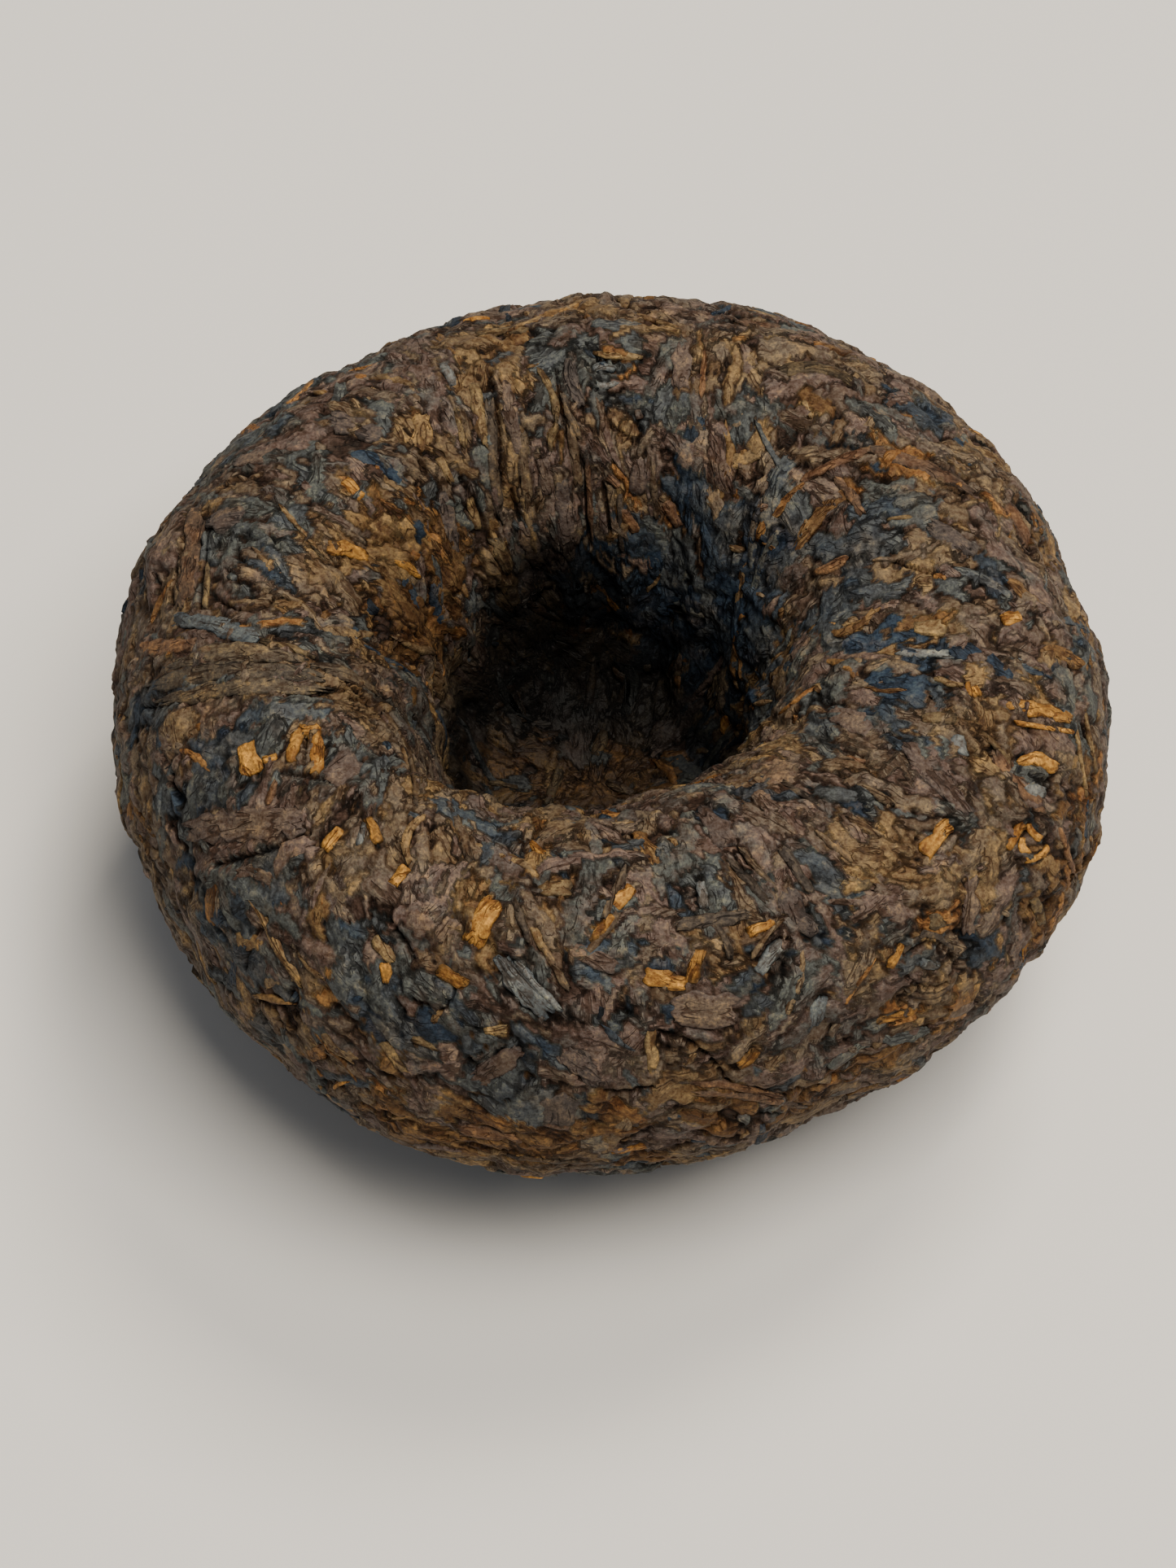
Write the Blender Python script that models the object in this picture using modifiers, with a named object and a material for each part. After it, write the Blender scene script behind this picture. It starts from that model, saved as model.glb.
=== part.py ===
"""A pu-erh tuocha: one serving of ripe tea leaf, pressed into a small nest that is domed below and hollow above.

It is one solid. A turned body is made uneven, as the cloth bag and the punch that it was pressed with leave
it, and the largest strips of leaf that show are fused to its skin. Metres, +Z up. The origin is on the
small flat spot that the dome rests on, under the middle of the whole.
"""

import bisect
import math
import random

import bmesh
import bpy
from mathutils import Matrix, Vector, noise

NAME = "tuocha"

# The pressed body, before it is made uneven.
WIDTH = 0.0269
HEIGHT = 0.0143
WIDEST_AT = 0.0088  # height of the widest ring above the rest
REST_RADIUS = 0.0031
RIM_REACH = 0.0046  # from the widest ring in to the crest of the rim
THROAT_RADIUS = 0.0042
FLOOR_HEIGHT = 0.0053
FLOOR_RADIUS = 0.0022
FLOOR_DISH = 0.0003  # the middle of the floor lies this much lower than its edge

# How far the hand-filled bag departs from a round one: (lobes, share of the radius, degrees round the axis).
OUT_OF_ROUND = ((2, 0.015, 20.0), (3, 0.006, 13.0), (4, 0.014, -19.0))
HOLLOW_SHIFT = Vector((-0.00035, 0.0, 0.0))
RIM_TILT = 0.0002  # how much higher the crest is on its high side
RIM_TILT_TOWARDS = math.radians(-60.0)
LUMP_HEIGHT = 0.00020
LUMP_SIZE = 0.0036
FLAKE_SIZE = 0.0021  # of the flattened leaves that pave the skin
FLAKE_STEP = 0.00036  # how much higher one may lie than the next
CRACK_DEPTH = 0.00014  # of the gaps between them
CRACK_REACH = 0.25  # how far a gap spreads, as a share of a flake
FOLDS = 15  # pleats that the punch drags down into the hollow
FOLD_DEPTH = 0.00012
SMOOTH_ABOVE_REST = 0.0016  # the skin is even at the rest and fully uneven this far above it

# Mesh of the body.
PROFILE_STEPS = 40
TURN_STEPS = 80
CURVE_STEPS = 24  # points read along each curved stretch of the profile
MERGE = 0.00001

# The longest pieces that show, placed as they lie: (degrees round the axis, distance out from the crest of
# the rim, degrees turned from straight down the side, length, width).
SHOWN_STRIPS = (
    (163, 0.0030, 92, 0.0042, 0.0008),  # stem along the left side
    (183, 0.0018, 147, 0.0032, 0.0007),  # blade across it
    (181, 0.0039, 153, 0.0030, 0.0007),
    (-152, 0.0006, 165, 0.0022, 0.0008),  # curled tip
    (-146, 0.0032, 139, 0.0042, 0.0010),
    (-99, 0.0030, 53, 0.0026, 0.0010),
    (-106, 0.0016, 165, 0.0020, 0.0008),
    (-81, 0.0026, 110, 0.0022, 0.0008),
    (-74, 0.0015, 83, 0.0028, 0.0006),
    (-78, 0.0053, 36, 0.0034, 0.0013),
    (-70, 0.0075, 49, 0.0038, 0.0009),
    (-117, 0.0053, 75, 0.0032, 0.0011),
    (-31, 0.0017, -10, 0.0034, 0.0009),
    (-22, 0.0042, -6, 0.0040, 0.0009),
    (-14, 0.0034, 31, 0.0028, 0.0007),
    (-7, 0.0058, -34, 0.0030, 0.0008),
    (26, 0.0009, -46, 0.0030, 0.0010),
    (53, 0.0011, -48, 0.0026, 0.0009),
    (61, -0.0027, 20, 0.0040, 0.0008),
    (92, -0.0036, 1, 0.0036, 0.0007),
    (102, -0.0018, 5, 0.0030, 0.0009),
    (115, -0.0028, -12, 0.0038, 0.0008),
    (145, 0.0021, 42, 0.0030, 0.0010),
    (-136, -0.0018, 47, 0.0034, 0.0007),
)
SHOWN_THICKNESS = 0.00052

# The other strips, the longest first: (how many, length, width, thickness).
STRIP_KINDS = (
    (16, 0.0036, 0.00125, 0.00050),
    (34, 0.0025, 0.00095, 0.00046),
)
STRIP_SIZE_SPREAD = 0.18
STRIP_SIDES = 4
STRIP_RINGS = 5
STRIP_BLUNTNESS = 0.5  # 1 is an ellipse, and nearer 0 is squarer
STRIP_TAPER = 0.2
STRIP_BOW = 0.09  # greatest sideways bend, as a share of the length
STRIP_CLEAR_OF_REST = 0.0010  # no strip lies lower than this
STRIP_CLEAR_OF_FLOOR = 0.0028  # nor this near the middle of the hollow
STRIP_SPACING = 0.56  # of the strips' lengths, from middle to middle
STRIP_TRIES = 6000
SEED = 11


def ellipse_arc(centre, reach, rise, start, end):
    """Points (radius, height) on an ellipse round centre, from the angle start to end in degrees."""
    points = []
    for step in range(CURVE_STEPS + 1):
        angle = math.radians(start + (end - start) * step / CURVE_STEPS)
        points.append((centre[0] + reach * math.cos(angle), centre[1] + rise * math.sin(angle)))
    return points


def section():
    """The body's section: the middle of the hollow's floor, its wall, the rim, the dome and the rest."""
    widest = WIDTH / 2
    crest = widest - RIM_REACH
    rim_rise = HEIGHT - WIDEST_AT
    wall_reach = THROAT_RADIUS - FLOOR_RADIUS
    wall_rise = WIDEST_AT - FLOOR_HEIGHT - FLOOR_DISH
    rest_angle = -math.degrees(math.acos(REST_RADIUS / widest))
    points = [(0.0, FLOOR_HEIGHT), (FLOOR_RADIUS / 2, FLOOR_HEIGHT + FLOOR_DISH / 4)]
    points += ellipse_arc((FLOOR_RADIUS, WIDEST_AT), wall_reach, wall_rise, -90, -12)
    points += ellipse_arc((crest, WIDEST_AT), crest - THROAT_RADIUS, rim_rise, 172, 90)
    points += ellipse_arc((crest, WIDEST_AT), RIM_REACH, rim_rise, 86, 0)
    points += ellipse_arc((0.0, WIDEST_AT), widest, WIDEST_AT, -4, rest_angle)[:-1]
    points += [(REST_RADIUS, 0.0), (0.0, 0.0)]
    return points


class Profile:
    """The section, read by the distance along it."""

    def __init__(self, points):
        self.points = points
        self.along = [0.0]
        for a, b in zip(points, points[1:]):
            self.along.append(self.along[-1] + math.dist(a, b))
        self.length = self.along[-1]
        self.crest = max(self.along, key=lambda distance: self.at(distance)[1])

    def at(self, distance):
        """(radius, height, outward radius, outward height) at a distance from the middle of the floor."""
        distance = min(max(distance, 0.0), self.length)
        after = min(max(bisect.bisect_right(self.along, distance), 1), len(self.along) - 1)
        a, b = self.points[after - 1], self.points[after]
        span = self.along[after] - self.along[after - 1]
        share = (distance - self.along[after - 1]) / span
        radius = a[0] + (b[0] - a[0]) * share
        height = a[1] + (b[1] - a[1]) * share
        return radius, height, -(b[1] - a[1]) / span, (b[0] - a[0]) / span


def smooth_share(value, low, high):
    """0 up to low, 1 from high, and a smooth rise between."""
    share = min(max((value - low) / (high - low), 0.0), 1.0)
    return share * share * (3 - 2 * share)


def flake_height(point):
    """How far the leaf at a point stands up or lies low, with a crack where it meets the next."""
    (nearest, second, *_), middles = noise.voronoi(point / FLAKE_SIZE)
    crack = 1 - smooth_share(second - nearest, 0.0, CRACK_REACH)
    return FLAKE_STEP * noise.noise(middles[0] * 5.3) - CRACK_DEPTH * crack


def pressed(point, outward):
    """Where a point of the even body lies on the uneven one."""
    angle = math.atan2(point.y, point.x)
    radius = math.hypot(point.x, point.y)
    crest = WIDTH / 2 - RIM_REACH
    swell = sum(share * math.cos(lobes * (angle - math.radians(turn))) for lobes, share, turn in OUT_OF_ROUND)
    moved = Vector((point.x * (1 + swell), point.y * (1 + swell), point.z))
    if outward.z > 0:
        moved += HOLLOW_SHIFT * (1 - smooth_share(radius, THROAT_RADIUS, crest))
    rim_share = smooth_share(point.z, WIDEST_AT, HEIGHT)
    moved.z += RIM_TILT * rim_share * math.cos(angle - RIM_TILT_TOWARDS)
    lump = LUMP_HEIGHT * noise.noise(point / LUMP_SIZE) + flake_height(point)
    drift = 2.5 * noise.noise(point / LUMP_SIZE / 2)
    fold = FOLD_DEPTH * math.cos(FOLDS * angle + drift) * smooth_share(radius, FLOOR_RADIUS, THROAT_RADIUS)
    fold *= 1 - 0.7 * smooth_share(radius, THROAT_RADIUS, crest)
    return moved + outward * (lump + fold) * smooth_share(point.z, 0.0, SMOOTH_ABOVE_REST)


def on_skin(profile, distance, angle, height=0.0):
    """A point of the uneven skin, or one that stands a height off it."""
    radius, up, out_radius, out_up = profile.at(distance)
    around = Vector((math.cos(angle), math.sin(angle), 0.0))
    outward = around * out_radius + Vector((0.0, 0.0, out_up))
    return pressed(around * radius + Vector((0.0, 0.0, up)), outward) + outward * height


def linked(name, mesh, collection):
    obj = bpy.data.objects.new(name, mesh)
    collection.objects.link(obj)
    return obj


def as_mesh(obj):
    """The object's evaluated shape as a plain mesh."""
    bpy.context.view_layer.update()
    graph = bpy.context.evaluated_depsgraph_get()
    return bpy.data.meshes.new_from_object(obj.evaluated_get(graph), depsgraph=graph)


def make_body(profile, collection):
    """The section, turned, and its vertices then moved to the uneven skin."""
    outline = bpy.data.meshes.new("section")
    rest_edge = profile.length - REST_RADIUS
    step = rest_edge / PROFILE_STEPS
    distances = [step * i for i in range(PROFILE_STEPS + 1)] + [profile.length]
    corners = [(profile.at(distance)[0], 0.0, profile.at(distance)[1]) for distance in distances]
    outline.from_pydata(corners, [(i, i + 1) for i in range(len(corners) - 1)], [])
    body = linked("body", outline, collection)
    turn = body.modifiers.new("turn", "SCREW")
    turn.axis = "Z"
    turn.angle = math.tau
    turn.steps = TURN_STEPS
    turn.render_steps = TURN_STEPS
    turn.use_merge_vertices = True
    turn.merge_threshold = MERGE
    turned = as_mesh(body)
    body.modifiers.remove(turn)
    body.data = turned
    bpy.data.meshes.remove(outline)
    normals = [vertex.normal.copy() for vertex in turned.vertices]
    for vertex, outward in zip(turned.vertices, normals):
        vertex.co = pressed(vertex.co.copy(), outward)
    return body


def shown_places(profile):
    """(distance, angle, size, turn, bow) of each strip that is placed as it lies."""
    for degrees, out, turned, length, width in SHOWN_STRIPS:
        size = (length, width, SHOWN_THICKNESS)
        yield profile.crest + out, math.radians(degrees), size, math.radians(turned), 0.0


def drawn_places(profile):
    """(distance, angle, size, turn, bow) of random strips, more of them where there is more skin."""
    draw = random.Random(SEED)
    widest = WIDTH / 2
    for _, length, width, thickness in STRIP_KINDS:
        for _ in range(STRIP_TRIES):
            distance = draw.uniform(STRIP_CLEAR_OF_FLOOR, profile.length)
            angle = draw.uniform(0.0, math.tau)
            scale = 1 + draw.uniform(-STRIP_SIZE_SPREAD, STRIP_SIZE_SPREAD)
            turn = draw.uniform(0.0, math.pi)
            bow = draw.uniform(-STRIP_BOW, STRIP_BOW)
            kept = draw.random() < profile.at(distance)[0] / widest
            if distance < profile.crest - RIM_REACH / 2:
                turn = 0.3 * math.cos(turn)  # the punch has drawn the leaf down the hollow
            if kept:
                yield distance, angle, (length * scale, width * scale, thickness), turn, bow


def spread_places(profile):
    """The shown strips, then the random ones that lie clear of the rest and of each other's middles."""
    placed = []
    wanted = {length: count for count, length, _, _ in STRIP_KINDS}
    smallest = 1 - STRIP_SIZE_SPREAD
    for place in shown_places(profile):
        placed.append((on_skin(profile, place[0], place[1]), place[2][0]))
        yield place
    for place in drawn_places(profile):
        distance, angle, size = place[:3]
        kind = max(length for length in wanted if length * smallest <= size[0])
        point = on_skin(profile, distance, angle)
        in_hollow = distance < profile.crest
        if wanted[kind] == 0 or (point.z < STRIP_CLEAR_OF_REST + size[0] / 4 and not in_hollow):
            continue
        if all((point - other).length > STRIP_SPACING * (size[0] + long) / 2 for other, long in placed):
            placed.append((point, size[0]))
            wanted[kind] -= 1
            yield place


def make_strip(name, profile, place, collection):
    """A flat strip of leaf with blunt ends, bent to the skin, its lower half sunk in it."""
    distance, angle, (length, width, thickness), turn, bow = place
    radius = profile.at(distance)[0]
    shape = bmesh.new()
    bmesh.ops.create_uvsphere(shape, u_segments=STRIP_SIDES, v_segments=STRIP_RINGS, radius=1.0)
    for vertex in shape.verts:
        # Turned by an eighth, so that a flat side of the four faces out.
        along, across, up = vertex.co.z, vertex.co.x - vertex.co.y, vertex.co.x + vertex.co.y
        ring = math.sqrt(max(1 - along * along, 0.0))
        fuller = ring ** (STRIP_BLUNTNESS - 1) if ring > 0.01 else 0.0
        ahead = along * length / 2
        aside = across * fuller * (1 - STRIP_TAPER * along) * width / 2 + bow * length * ring
        down = ahead * math.cos(turn) - aside * math.sin(turn)
        round_axis = ahead * math.sin(turn) + aside * math.cos(turn)
        vertex.co = on_skin(profile, distance + down, angle + round_axis / radius, up * fuller * thickness / 2)
    bmesh.ops.recalc_face_normals(shape, faces=shape.faces)
    mesh = bpy.data.meshes.new(name)
    shape.to_mesh(mesh)
    shape.free()
    return linked(name, mesh, collection)


def fuse(body, strips):
    """One Boolean union of the body and the strips, which are then removed."""
    union = body.modifiers.new("union", "BOOLEAN")
    union.operation = "UNION"
    union.operand_type = "COLLECTION"
    union.collection = strips
    union.solver = "EXACT"
    fused = as_mesh(body)
    body.modifiers.remove(union)
    body.data = fused
    for strip in list(strips.objects):
        bpy.data.objects.remove(strip)
    bpy.data.collections.remove(strips)


def keep_outer_skin(mesh):
    """Drop all but the largest skin, which fills sealed hollows and drops loose scraps.

    A hollow's skin may touch the outer one along an edge, so only an edge of two faces counts as joining them.
    """
    shape = bmesh.new()
    shape.from_mesh(mesh)
    bmesh.ops.triangulate(shape, faces=shape.faces)
    left = set(shape.faces)
    skins = []
    while left:
        skin = []
        reached = [left.pop()]
        while reached:
            face = reached.pop()
            skin.append(face)
            joints = [edge for edge in face.edges if len(edge.link_faces) == 2]
            beside = {other for edge in joints for other in edge.link_faces} & left
            left -= beside
            reached.extend(beside)
        skins.append(skin)
    skins.sort(key=len)
    inner = [face for skin in skins[:-1] for face in skin]
    bmesh.ops.delete(shape, geom=inner, context="FACES")
    shape.to_mesh(mesh)
    shape.free()


def centre_over_origin(mesh):
    """Move the mesh sideways until its box stands evenly round the origin."""
    low = Vector(min(vertex.co[axis] for vertex in mesh.vertices) for axis in range(3))
    high = Vector(max(vertex.co[axis] for vertex in mesh.vertices) for axis in range(3))
    middle = (low + high) / 2
    mesh.transform(Matrix.Translation((-middle.x, -middle.y, 0.0)))


def pressed_leaf():
    """Dark ripe tea, dull, with a slight sheen where the punch and the cloth have smoothed it."""
    material = bpy.data.materials.new("pressed_leaf")
    material.use_nodes = True
    shader = material.node_tree.nodes["Principled BSDF"]
    shader.inputs["Base Color"].default_value = (0.055, 0.038, 0.026, 1.0)
    shader.inputs["Roughness"].default_value = 0.6
    shader.inputs["Metallic"].default_value = 0.0
    return material


def main():
    for old in list(bpy.data.objects):
        bpy.data.objects.remove(old)
    parts = bpy.data.collections.new(NAME)
    strips = bpy.data.collections.new("leaf_strips")
    bpy.context.scene.collection.children.link(parts)
    bpy.context.scene.collection.children.link(strips)
    profile = Profile(section())
    body = make_body(profile, parts)
    for number, place in enumerate(spread_places(profile)):
        make_strip(f"strip_{number:02d}", profile, place, strips)
    fuse(body, strips)
    body.name = NAME
    body.data.name = NAME
    keep_outer_skin(body.data)
    centre_over_origin(body.data)
    body.data.materials.clear()
    body.data.materials.append(pressed_leaf())
    body.data.shade_smooth()
    body.data.set_sharp_from_angle(angle=math.radians(40))


main()
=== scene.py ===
"""Looks of a pu-erh tuocha: ripe tea leaf pressed into a small nest, domed below, with a deep hollow above.

The view comes first, since the leaves that can be told apart are laid by the pixels where they show. Then
come the cake's matted leaf, the leaves pressed into it, and last the floor and the light. Metres, +Z up, in
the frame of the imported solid.
"""

import bisect
import math
import random

import bmesh
import bpy
import numpy as np
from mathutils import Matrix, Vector, noise
from mathutils.bvhtree import BVHTree


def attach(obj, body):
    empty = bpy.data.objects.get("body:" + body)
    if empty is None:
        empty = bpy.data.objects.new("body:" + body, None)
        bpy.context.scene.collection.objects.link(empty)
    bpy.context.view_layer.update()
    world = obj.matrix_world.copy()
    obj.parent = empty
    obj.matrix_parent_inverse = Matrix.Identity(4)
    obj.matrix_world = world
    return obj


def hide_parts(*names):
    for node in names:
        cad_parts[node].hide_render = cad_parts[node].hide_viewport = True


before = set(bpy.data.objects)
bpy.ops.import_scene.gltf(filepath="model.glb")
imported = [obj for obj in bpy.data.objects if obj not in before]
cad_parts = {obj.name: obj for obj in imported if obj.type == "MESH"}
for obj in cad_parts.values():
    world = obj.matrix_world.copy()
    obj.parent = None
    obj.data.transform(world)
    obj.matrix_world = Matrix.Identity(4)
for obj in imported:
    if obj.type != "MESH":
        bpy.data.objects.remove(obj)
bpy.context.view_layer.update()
NODE = "tuocha"
MM = 0.001

# ---------------------------------------------------------------------------------------------------------
# The view. The camera looks down at the cake from the photo's own angle. It is made first, because it also
# says where on the cake each pixel of the photo lies.

VIEW_HEIGHT = math.radians(55.5)
VIEW_DISTANCE = 0.160
VIEW_TARGET = Vector((0.0, 0.0, 0.007))
PIXELS = (1445, 1927)
TARGET_PIXEL = (750.6, 934.4)  # where the target shows in the photo's frame
FOCAL_PIXELS = 7100.0
SENSOR = 36.0
NEAREST_SEEN = 0.005

view_back = Vector((0.0, -math.cos(VIEW_HEIGHT), math.sin(VIEW_HEIGHT)))
view_up = Vector((0.0, math.sin(VIEW_HEIGHT), math.cos(VIEW_HEIGHT)))
PIXEL = VIEW_DISTANCE / FOCAL_PIXELS  # the real size of one pixel at the target
aim = VIEW_TARGET.copy()
aim.x -= (TARGET_PIXEL[0] - PIXELS[0] / 2) * PIXEL
aim += view_up * (TARGET_PIXEL[1] - PIXELS[1] / 2) * PIXEL
lens = bpy.data.cameras.new("camera")
lens.lens = SENSOR * FOCAL_PIXELS / PIXELS[1]
lens.sensor_width = SENSOR
lens.clip_start = NEAREST_SEEN
camera = bpy.data.objects.new("camera", lens)
camera.location = aim + view_back * VIEW_DISTANCE
camera.rotation_euler = view_back.to_track_quat("Z", "Y").to_euler()
bpy.context.scene.collection.objects.link(camera)
bpy.context.scene.camera = camera


def through_pixel(x, y):
    """The way from the camera through a pixel of the photo."""
    way = view_back * -FOCAL_PIXELS + view_up * (PIXELS[1] / 2 - y)
    way.x += x - PIXELS[0] / 2
    return way.normalized()


# ---------------------------------------------------------------------------------------------------------
# The form of the cake. It is steamed ripe tea, squeezed in a cloth bag round a punch, so it is a thick
# rolled rim round a deep funnel, and no part of it is quite round.

WIDTH = 0.0269
HEIGHT = 0.0143
WIDEST_AT = 0.0088
REST_RADIUS = 0.0031
RIM_REACH = 0.0046
THROAT_RADIUS = 0.0042
FLOOR_HEIGHT = 0.0053
FLOOR_RADIUS = 0.0022
FLOOR_DISH = 0.0003
OUT_OF_ROUND = ((2, 0.015, 20.0), (3, 0.006, 13.0), (4, 0.014, -19.0))
HOLLOW_SHIFT = Vector((-0.00035, 0.0, 0.0))
HOLLOW_CORNER = 0.00090
HOLLOW_CORNER_AT = math.radians(-136.0)
HOLLOW_CORNER_SPREAD = 0.36
RIM_TILT = 0.0002
RIM_TILT_TOWARDS = math.radians(-60.0)
LUMP_HEIGHT = 0.00020
LUMP_SIZE = 0.0036
FLAKE_SIZE = 0.0021
FLAKE_STEP = 0.00018
FLAKE_DRAW = 5.3  # takes the middle of each flake to a height of its own
CRACK_DEPTH = 0.00011
CRACK_REACH = 0.25
FOLDS = 15
FOLD_DEPTH = 0.00012
FOLD_DRIFT = 2.5  # how far the folds wander round the axis, in radians
FOLD_FADE = 0.7  # the share of a fold that is gone at the rim
SMOOTH_ABOVE_REST = 0.0016
CURVE_STEPS = 24
AXIS_AT = Vector((-0.000084, 0.000037, 0.0))  # where the punch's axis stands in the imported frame
ROWS = 448
COLUMNS = 800
COARSE = 2  # the even form is worked out at every second row and column, and filled in between


def ellipse_arc(centre, reach, rise, start, end):
    """Points (radius, height) on an ellipse round centre, from the angle start to end in degrees."""
    points = []
    for step in range(CURVE_STEPS + 1):
        angle = math.radians(start + (end - start) * step / CURVE_STEPS)
        points.append((centre[0] + reach * math.cos(angle), centre[1] + rise * math.sin(angle)))
    return points


def section():
    """The cake's section: the middle of the hollow's floor, its wall, the rim, the dome and the rest."""
    widest = WIDTH / 2
    crest = widest - RIM_REACH
    rim_rise = HEIGHT - WIDEST_AT
    wall_reach = THROAT_RADIUS - FLOOR_RADIUS
    wall_rise = WIDEST_AT - FLOOR_HEIGHT - FLOOR_DISH
    rest_angle = -math.degrees(math.acos(REST_RADIUS / widest))
    points = [(0.0, FLOOR_HEIGHT), (FLOOR_RADIUS / 2, FLOOR_HEIGHT + FLOOR_DISH / 4)]
    points += ellipse_arc((FLOOR_RADIUS, WIDEST_AT), wall_reach, wall_rise, -90, -12)
    points += ellipse_arc((crest, WIDEST_AT), crest - THROAT_RADIUS, rim_rise, 172, 90)
    points += ellipse_arc((crest, WIDEST_AT), RIM_REACH, rim_rise, 86, 0)
    points += ellipse_arc((0.0, WIDEST_AT), widest, WIDEST_AT, -4, rest_angle)[:-1]
    points += [(REST_RADIUS, 0.0), (0.0, 0.0)]
    return points


class Profile:
    """The section, read by the distance along it."""

    def __init__(self, points):
        self.points = points
        self.along = [0.0]
        for a, b in zip(points, points[1:]):
            self.along.append(self.along[-1] + math.dist(a, b))
        self.length = self.along[-1]
        self.crest = max(self.along, key=lambda distance: self.at(distance)[1])
        self.widest = max(self.along, key=lambda distance: self.at(distance)[0])

    def at(self, distance):
        """(radius, height, outward radius, outward height) at a distance from the middle of the floor."""
        distance = min(max(distance, 0.0), self.length)
        after = min(max(bisect.bisect_right(self.along, distance), 1), len(self.along) - 1)
        a, b = self.points[after - 1], self.points[after]
        span = self.along[after] - self.along[after - 1]
        share = (distance - self.along[after - 1]) / span
        radius = a[0] + (b[0] - a[0]) * share
        height = a[1] + (b[1] - a[1]) * share
        return radius, height, -(b[1] - a[1]) / span, (b[0] - a[0]) / span


def smooth_share(value, start, end):
    """0 up to start, 1 from end, and a smooth rise between."""
    share = min(max((value - start) / (end - start), 0.0), 1.0)
    return share * share * (3 - 2 * share)


def flake_height(point):
    """How far the leaf at a point stands up or lies low, with a crack where it meets the next."""
    (nearest, second, *_), middles = noise.voronoi(point / FLAKE_SIZE)
    crack = 1 - smooth_share(second - nearest, 0.0, CRACK_REACH)
    return FLAKE_STEP * noise.noise(middles[0] * FLAKE_DRAW) - CRACK_DEPTH * crack


def pressed(point, outward):
    """Where a point of the even body lies on the uneven one."""
    angle = math.atan2(point.y, point.x)
    radius = math.hypot(point.x, point.y)
    crest = WIDTH / 2 - RIM_REACH
    swell = sum(share * math.cos(lobes * (angle - math.radians(turn))) for lobes, share, turn in OUT_OF_ROUND)
    moved = Vector((point.x * (1 + swell), point.y * (1 + swell), point.z))
    if outward.z > 0:
        drawn = HOLLOW_CORNER * math.exp(-(((angle - HOLLOW_CORNER_AT) / HOLLOW_CORNER_SPREAD) ** 2))
        aside = HOLLOW_SHIFT + Vector((math.cos(angle), math.sin(angle), 0.0)) * drawn
        moved += aside * (1 - smooth_share(radius, THROAT_RADIUS, crest))
    rim_share = smooth_share(point.z, WIDEST_AT, HEIGHT)
    moved.z += RIM_TILT * rim_share * math.cos(angle - RIM_TILT_TOWARDS)
    lump = LUMP_HEIGHT * noise.noise(point / LUMP_SIZE) + flake_height(point)
    drift = FOLD_DRIFT * noise.noise(point / LUMP_SIZE / 2)
    fold = FOLD_DEPTH * math.cos(FOLDS * angle + drift) * smooth_share(radius, FLOOR_RADIUS, THROAT_RADIUS)
    fold *= 1 - FOLD_FADE * smooth_share(radius, THROAT_RADIUS, crest)
    return moved + outward * (lump + fold) * smooth_share(point.z, 0.0, SMOOTH_ABOVE_REST) + AXIS_AT


def skin_grid():
    """The skin as rows from the middle of the hollow round to the rest: places, ways out, and ways down."""
    places = np.empty((ROWS // COARSE + 1, COLUMNS // COARSE, 3))
    outs = np.empty_like(places)
    downs = np.empty_like(places)
    for row in range(places.shape[0]):
        radius, height, out_radius, out_up = profile.at(profile.length * row * COARSE / ROWS)
        for column in range(places.shape[1]):
            angle = math.tau * column * COARSE / COLUMNS
            around = Vector((math.cos(angle), math.sin(angle), 0.0))
            outward = around * out_radius + Vector((0.0, 0.0, out_up))
            even = around * radius + Vector((0.0, 0.0, height))
            places[row, column] = pressed(even, outward)
            outs[row, column] = outward
            downs[row, column] = around * out_up - Vector((0.0, 0.0, out_radius))
    return places, outs, downs


def filled_in(values):
    """Values of the coarse grid, with a row and a column put between each two."""
    wide = np.stack([values, (values + np.roll(values, -1, 1)) / 2], axis=2)
    wide = wide.reshape(values.shape[0], COLUMNS, *values.shape[2:])
    tall = np.empty((ROWS + 1, *wide.shape[1:]))
    tall[::COARSE] = wide
    tall[1::COARSE] = (wide[1:] + wide[:-1]) / 2
    return tall


def joined_rings(rings, loop=False):
    """The points of rings one after another, and the faces between them. A ring is one point at a pole."""
    columns = max(len(ring) for ring in rings)
    starts = np.cumsum([0] + [len(ring) for ring in rings])
    faces = []
    pairs = list(zip(range(len(rings)), range(1, len(rings)))) + ([(len(rings) - 1, 0)] if loop else [])
    for near, far in pairs:
        here = np.arange(columns)
        beside = (here + 1) % columns
        if len(rings[near]) == 1:
            faces += [(starts[near], starts[far] + a, starts[far] + b) for a, b in zip(here, beside)]
        elif len(rings[far]) == 1:
            faces += [(starts[near] + a, starts[far], starts[near] + b) for a, b in zip(here, beside)]
        else:
            sides = (starts[near] + here, starts[far] + here, starts[far] + beside, starts[near] + beside)
            faces += np.stack(sides, axis=1).tolist()
    return np.concatenate(rings), faces


profile = Profile(section())
coarse_grid, coarse_outs, coarse_downs = skin_grid()
grid, outward_ways, down_ways = (filled_in(values) for values in (coarse_grid, coarse_outs, coarse_downs))
around_ways = np.cross(outward_ways, down_ways)
skin_points, skin_faces = joined_rings([coarse_grid[0, :1], *coarse_grid[1:-1], coarse_grid[-1, :1]])
skin_tree = BVHTree.FromPolygons(skin_points.tolist(), skin_faces)

# ---------------------------------------------------------------------------------------------------------
# The leaves that can be told apart, and where they lie. Each is a strip of leaf, stem or bud. It is given by
# the pixels of its two ends and its width, and by how far its middle stands off the straight line.

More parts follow.
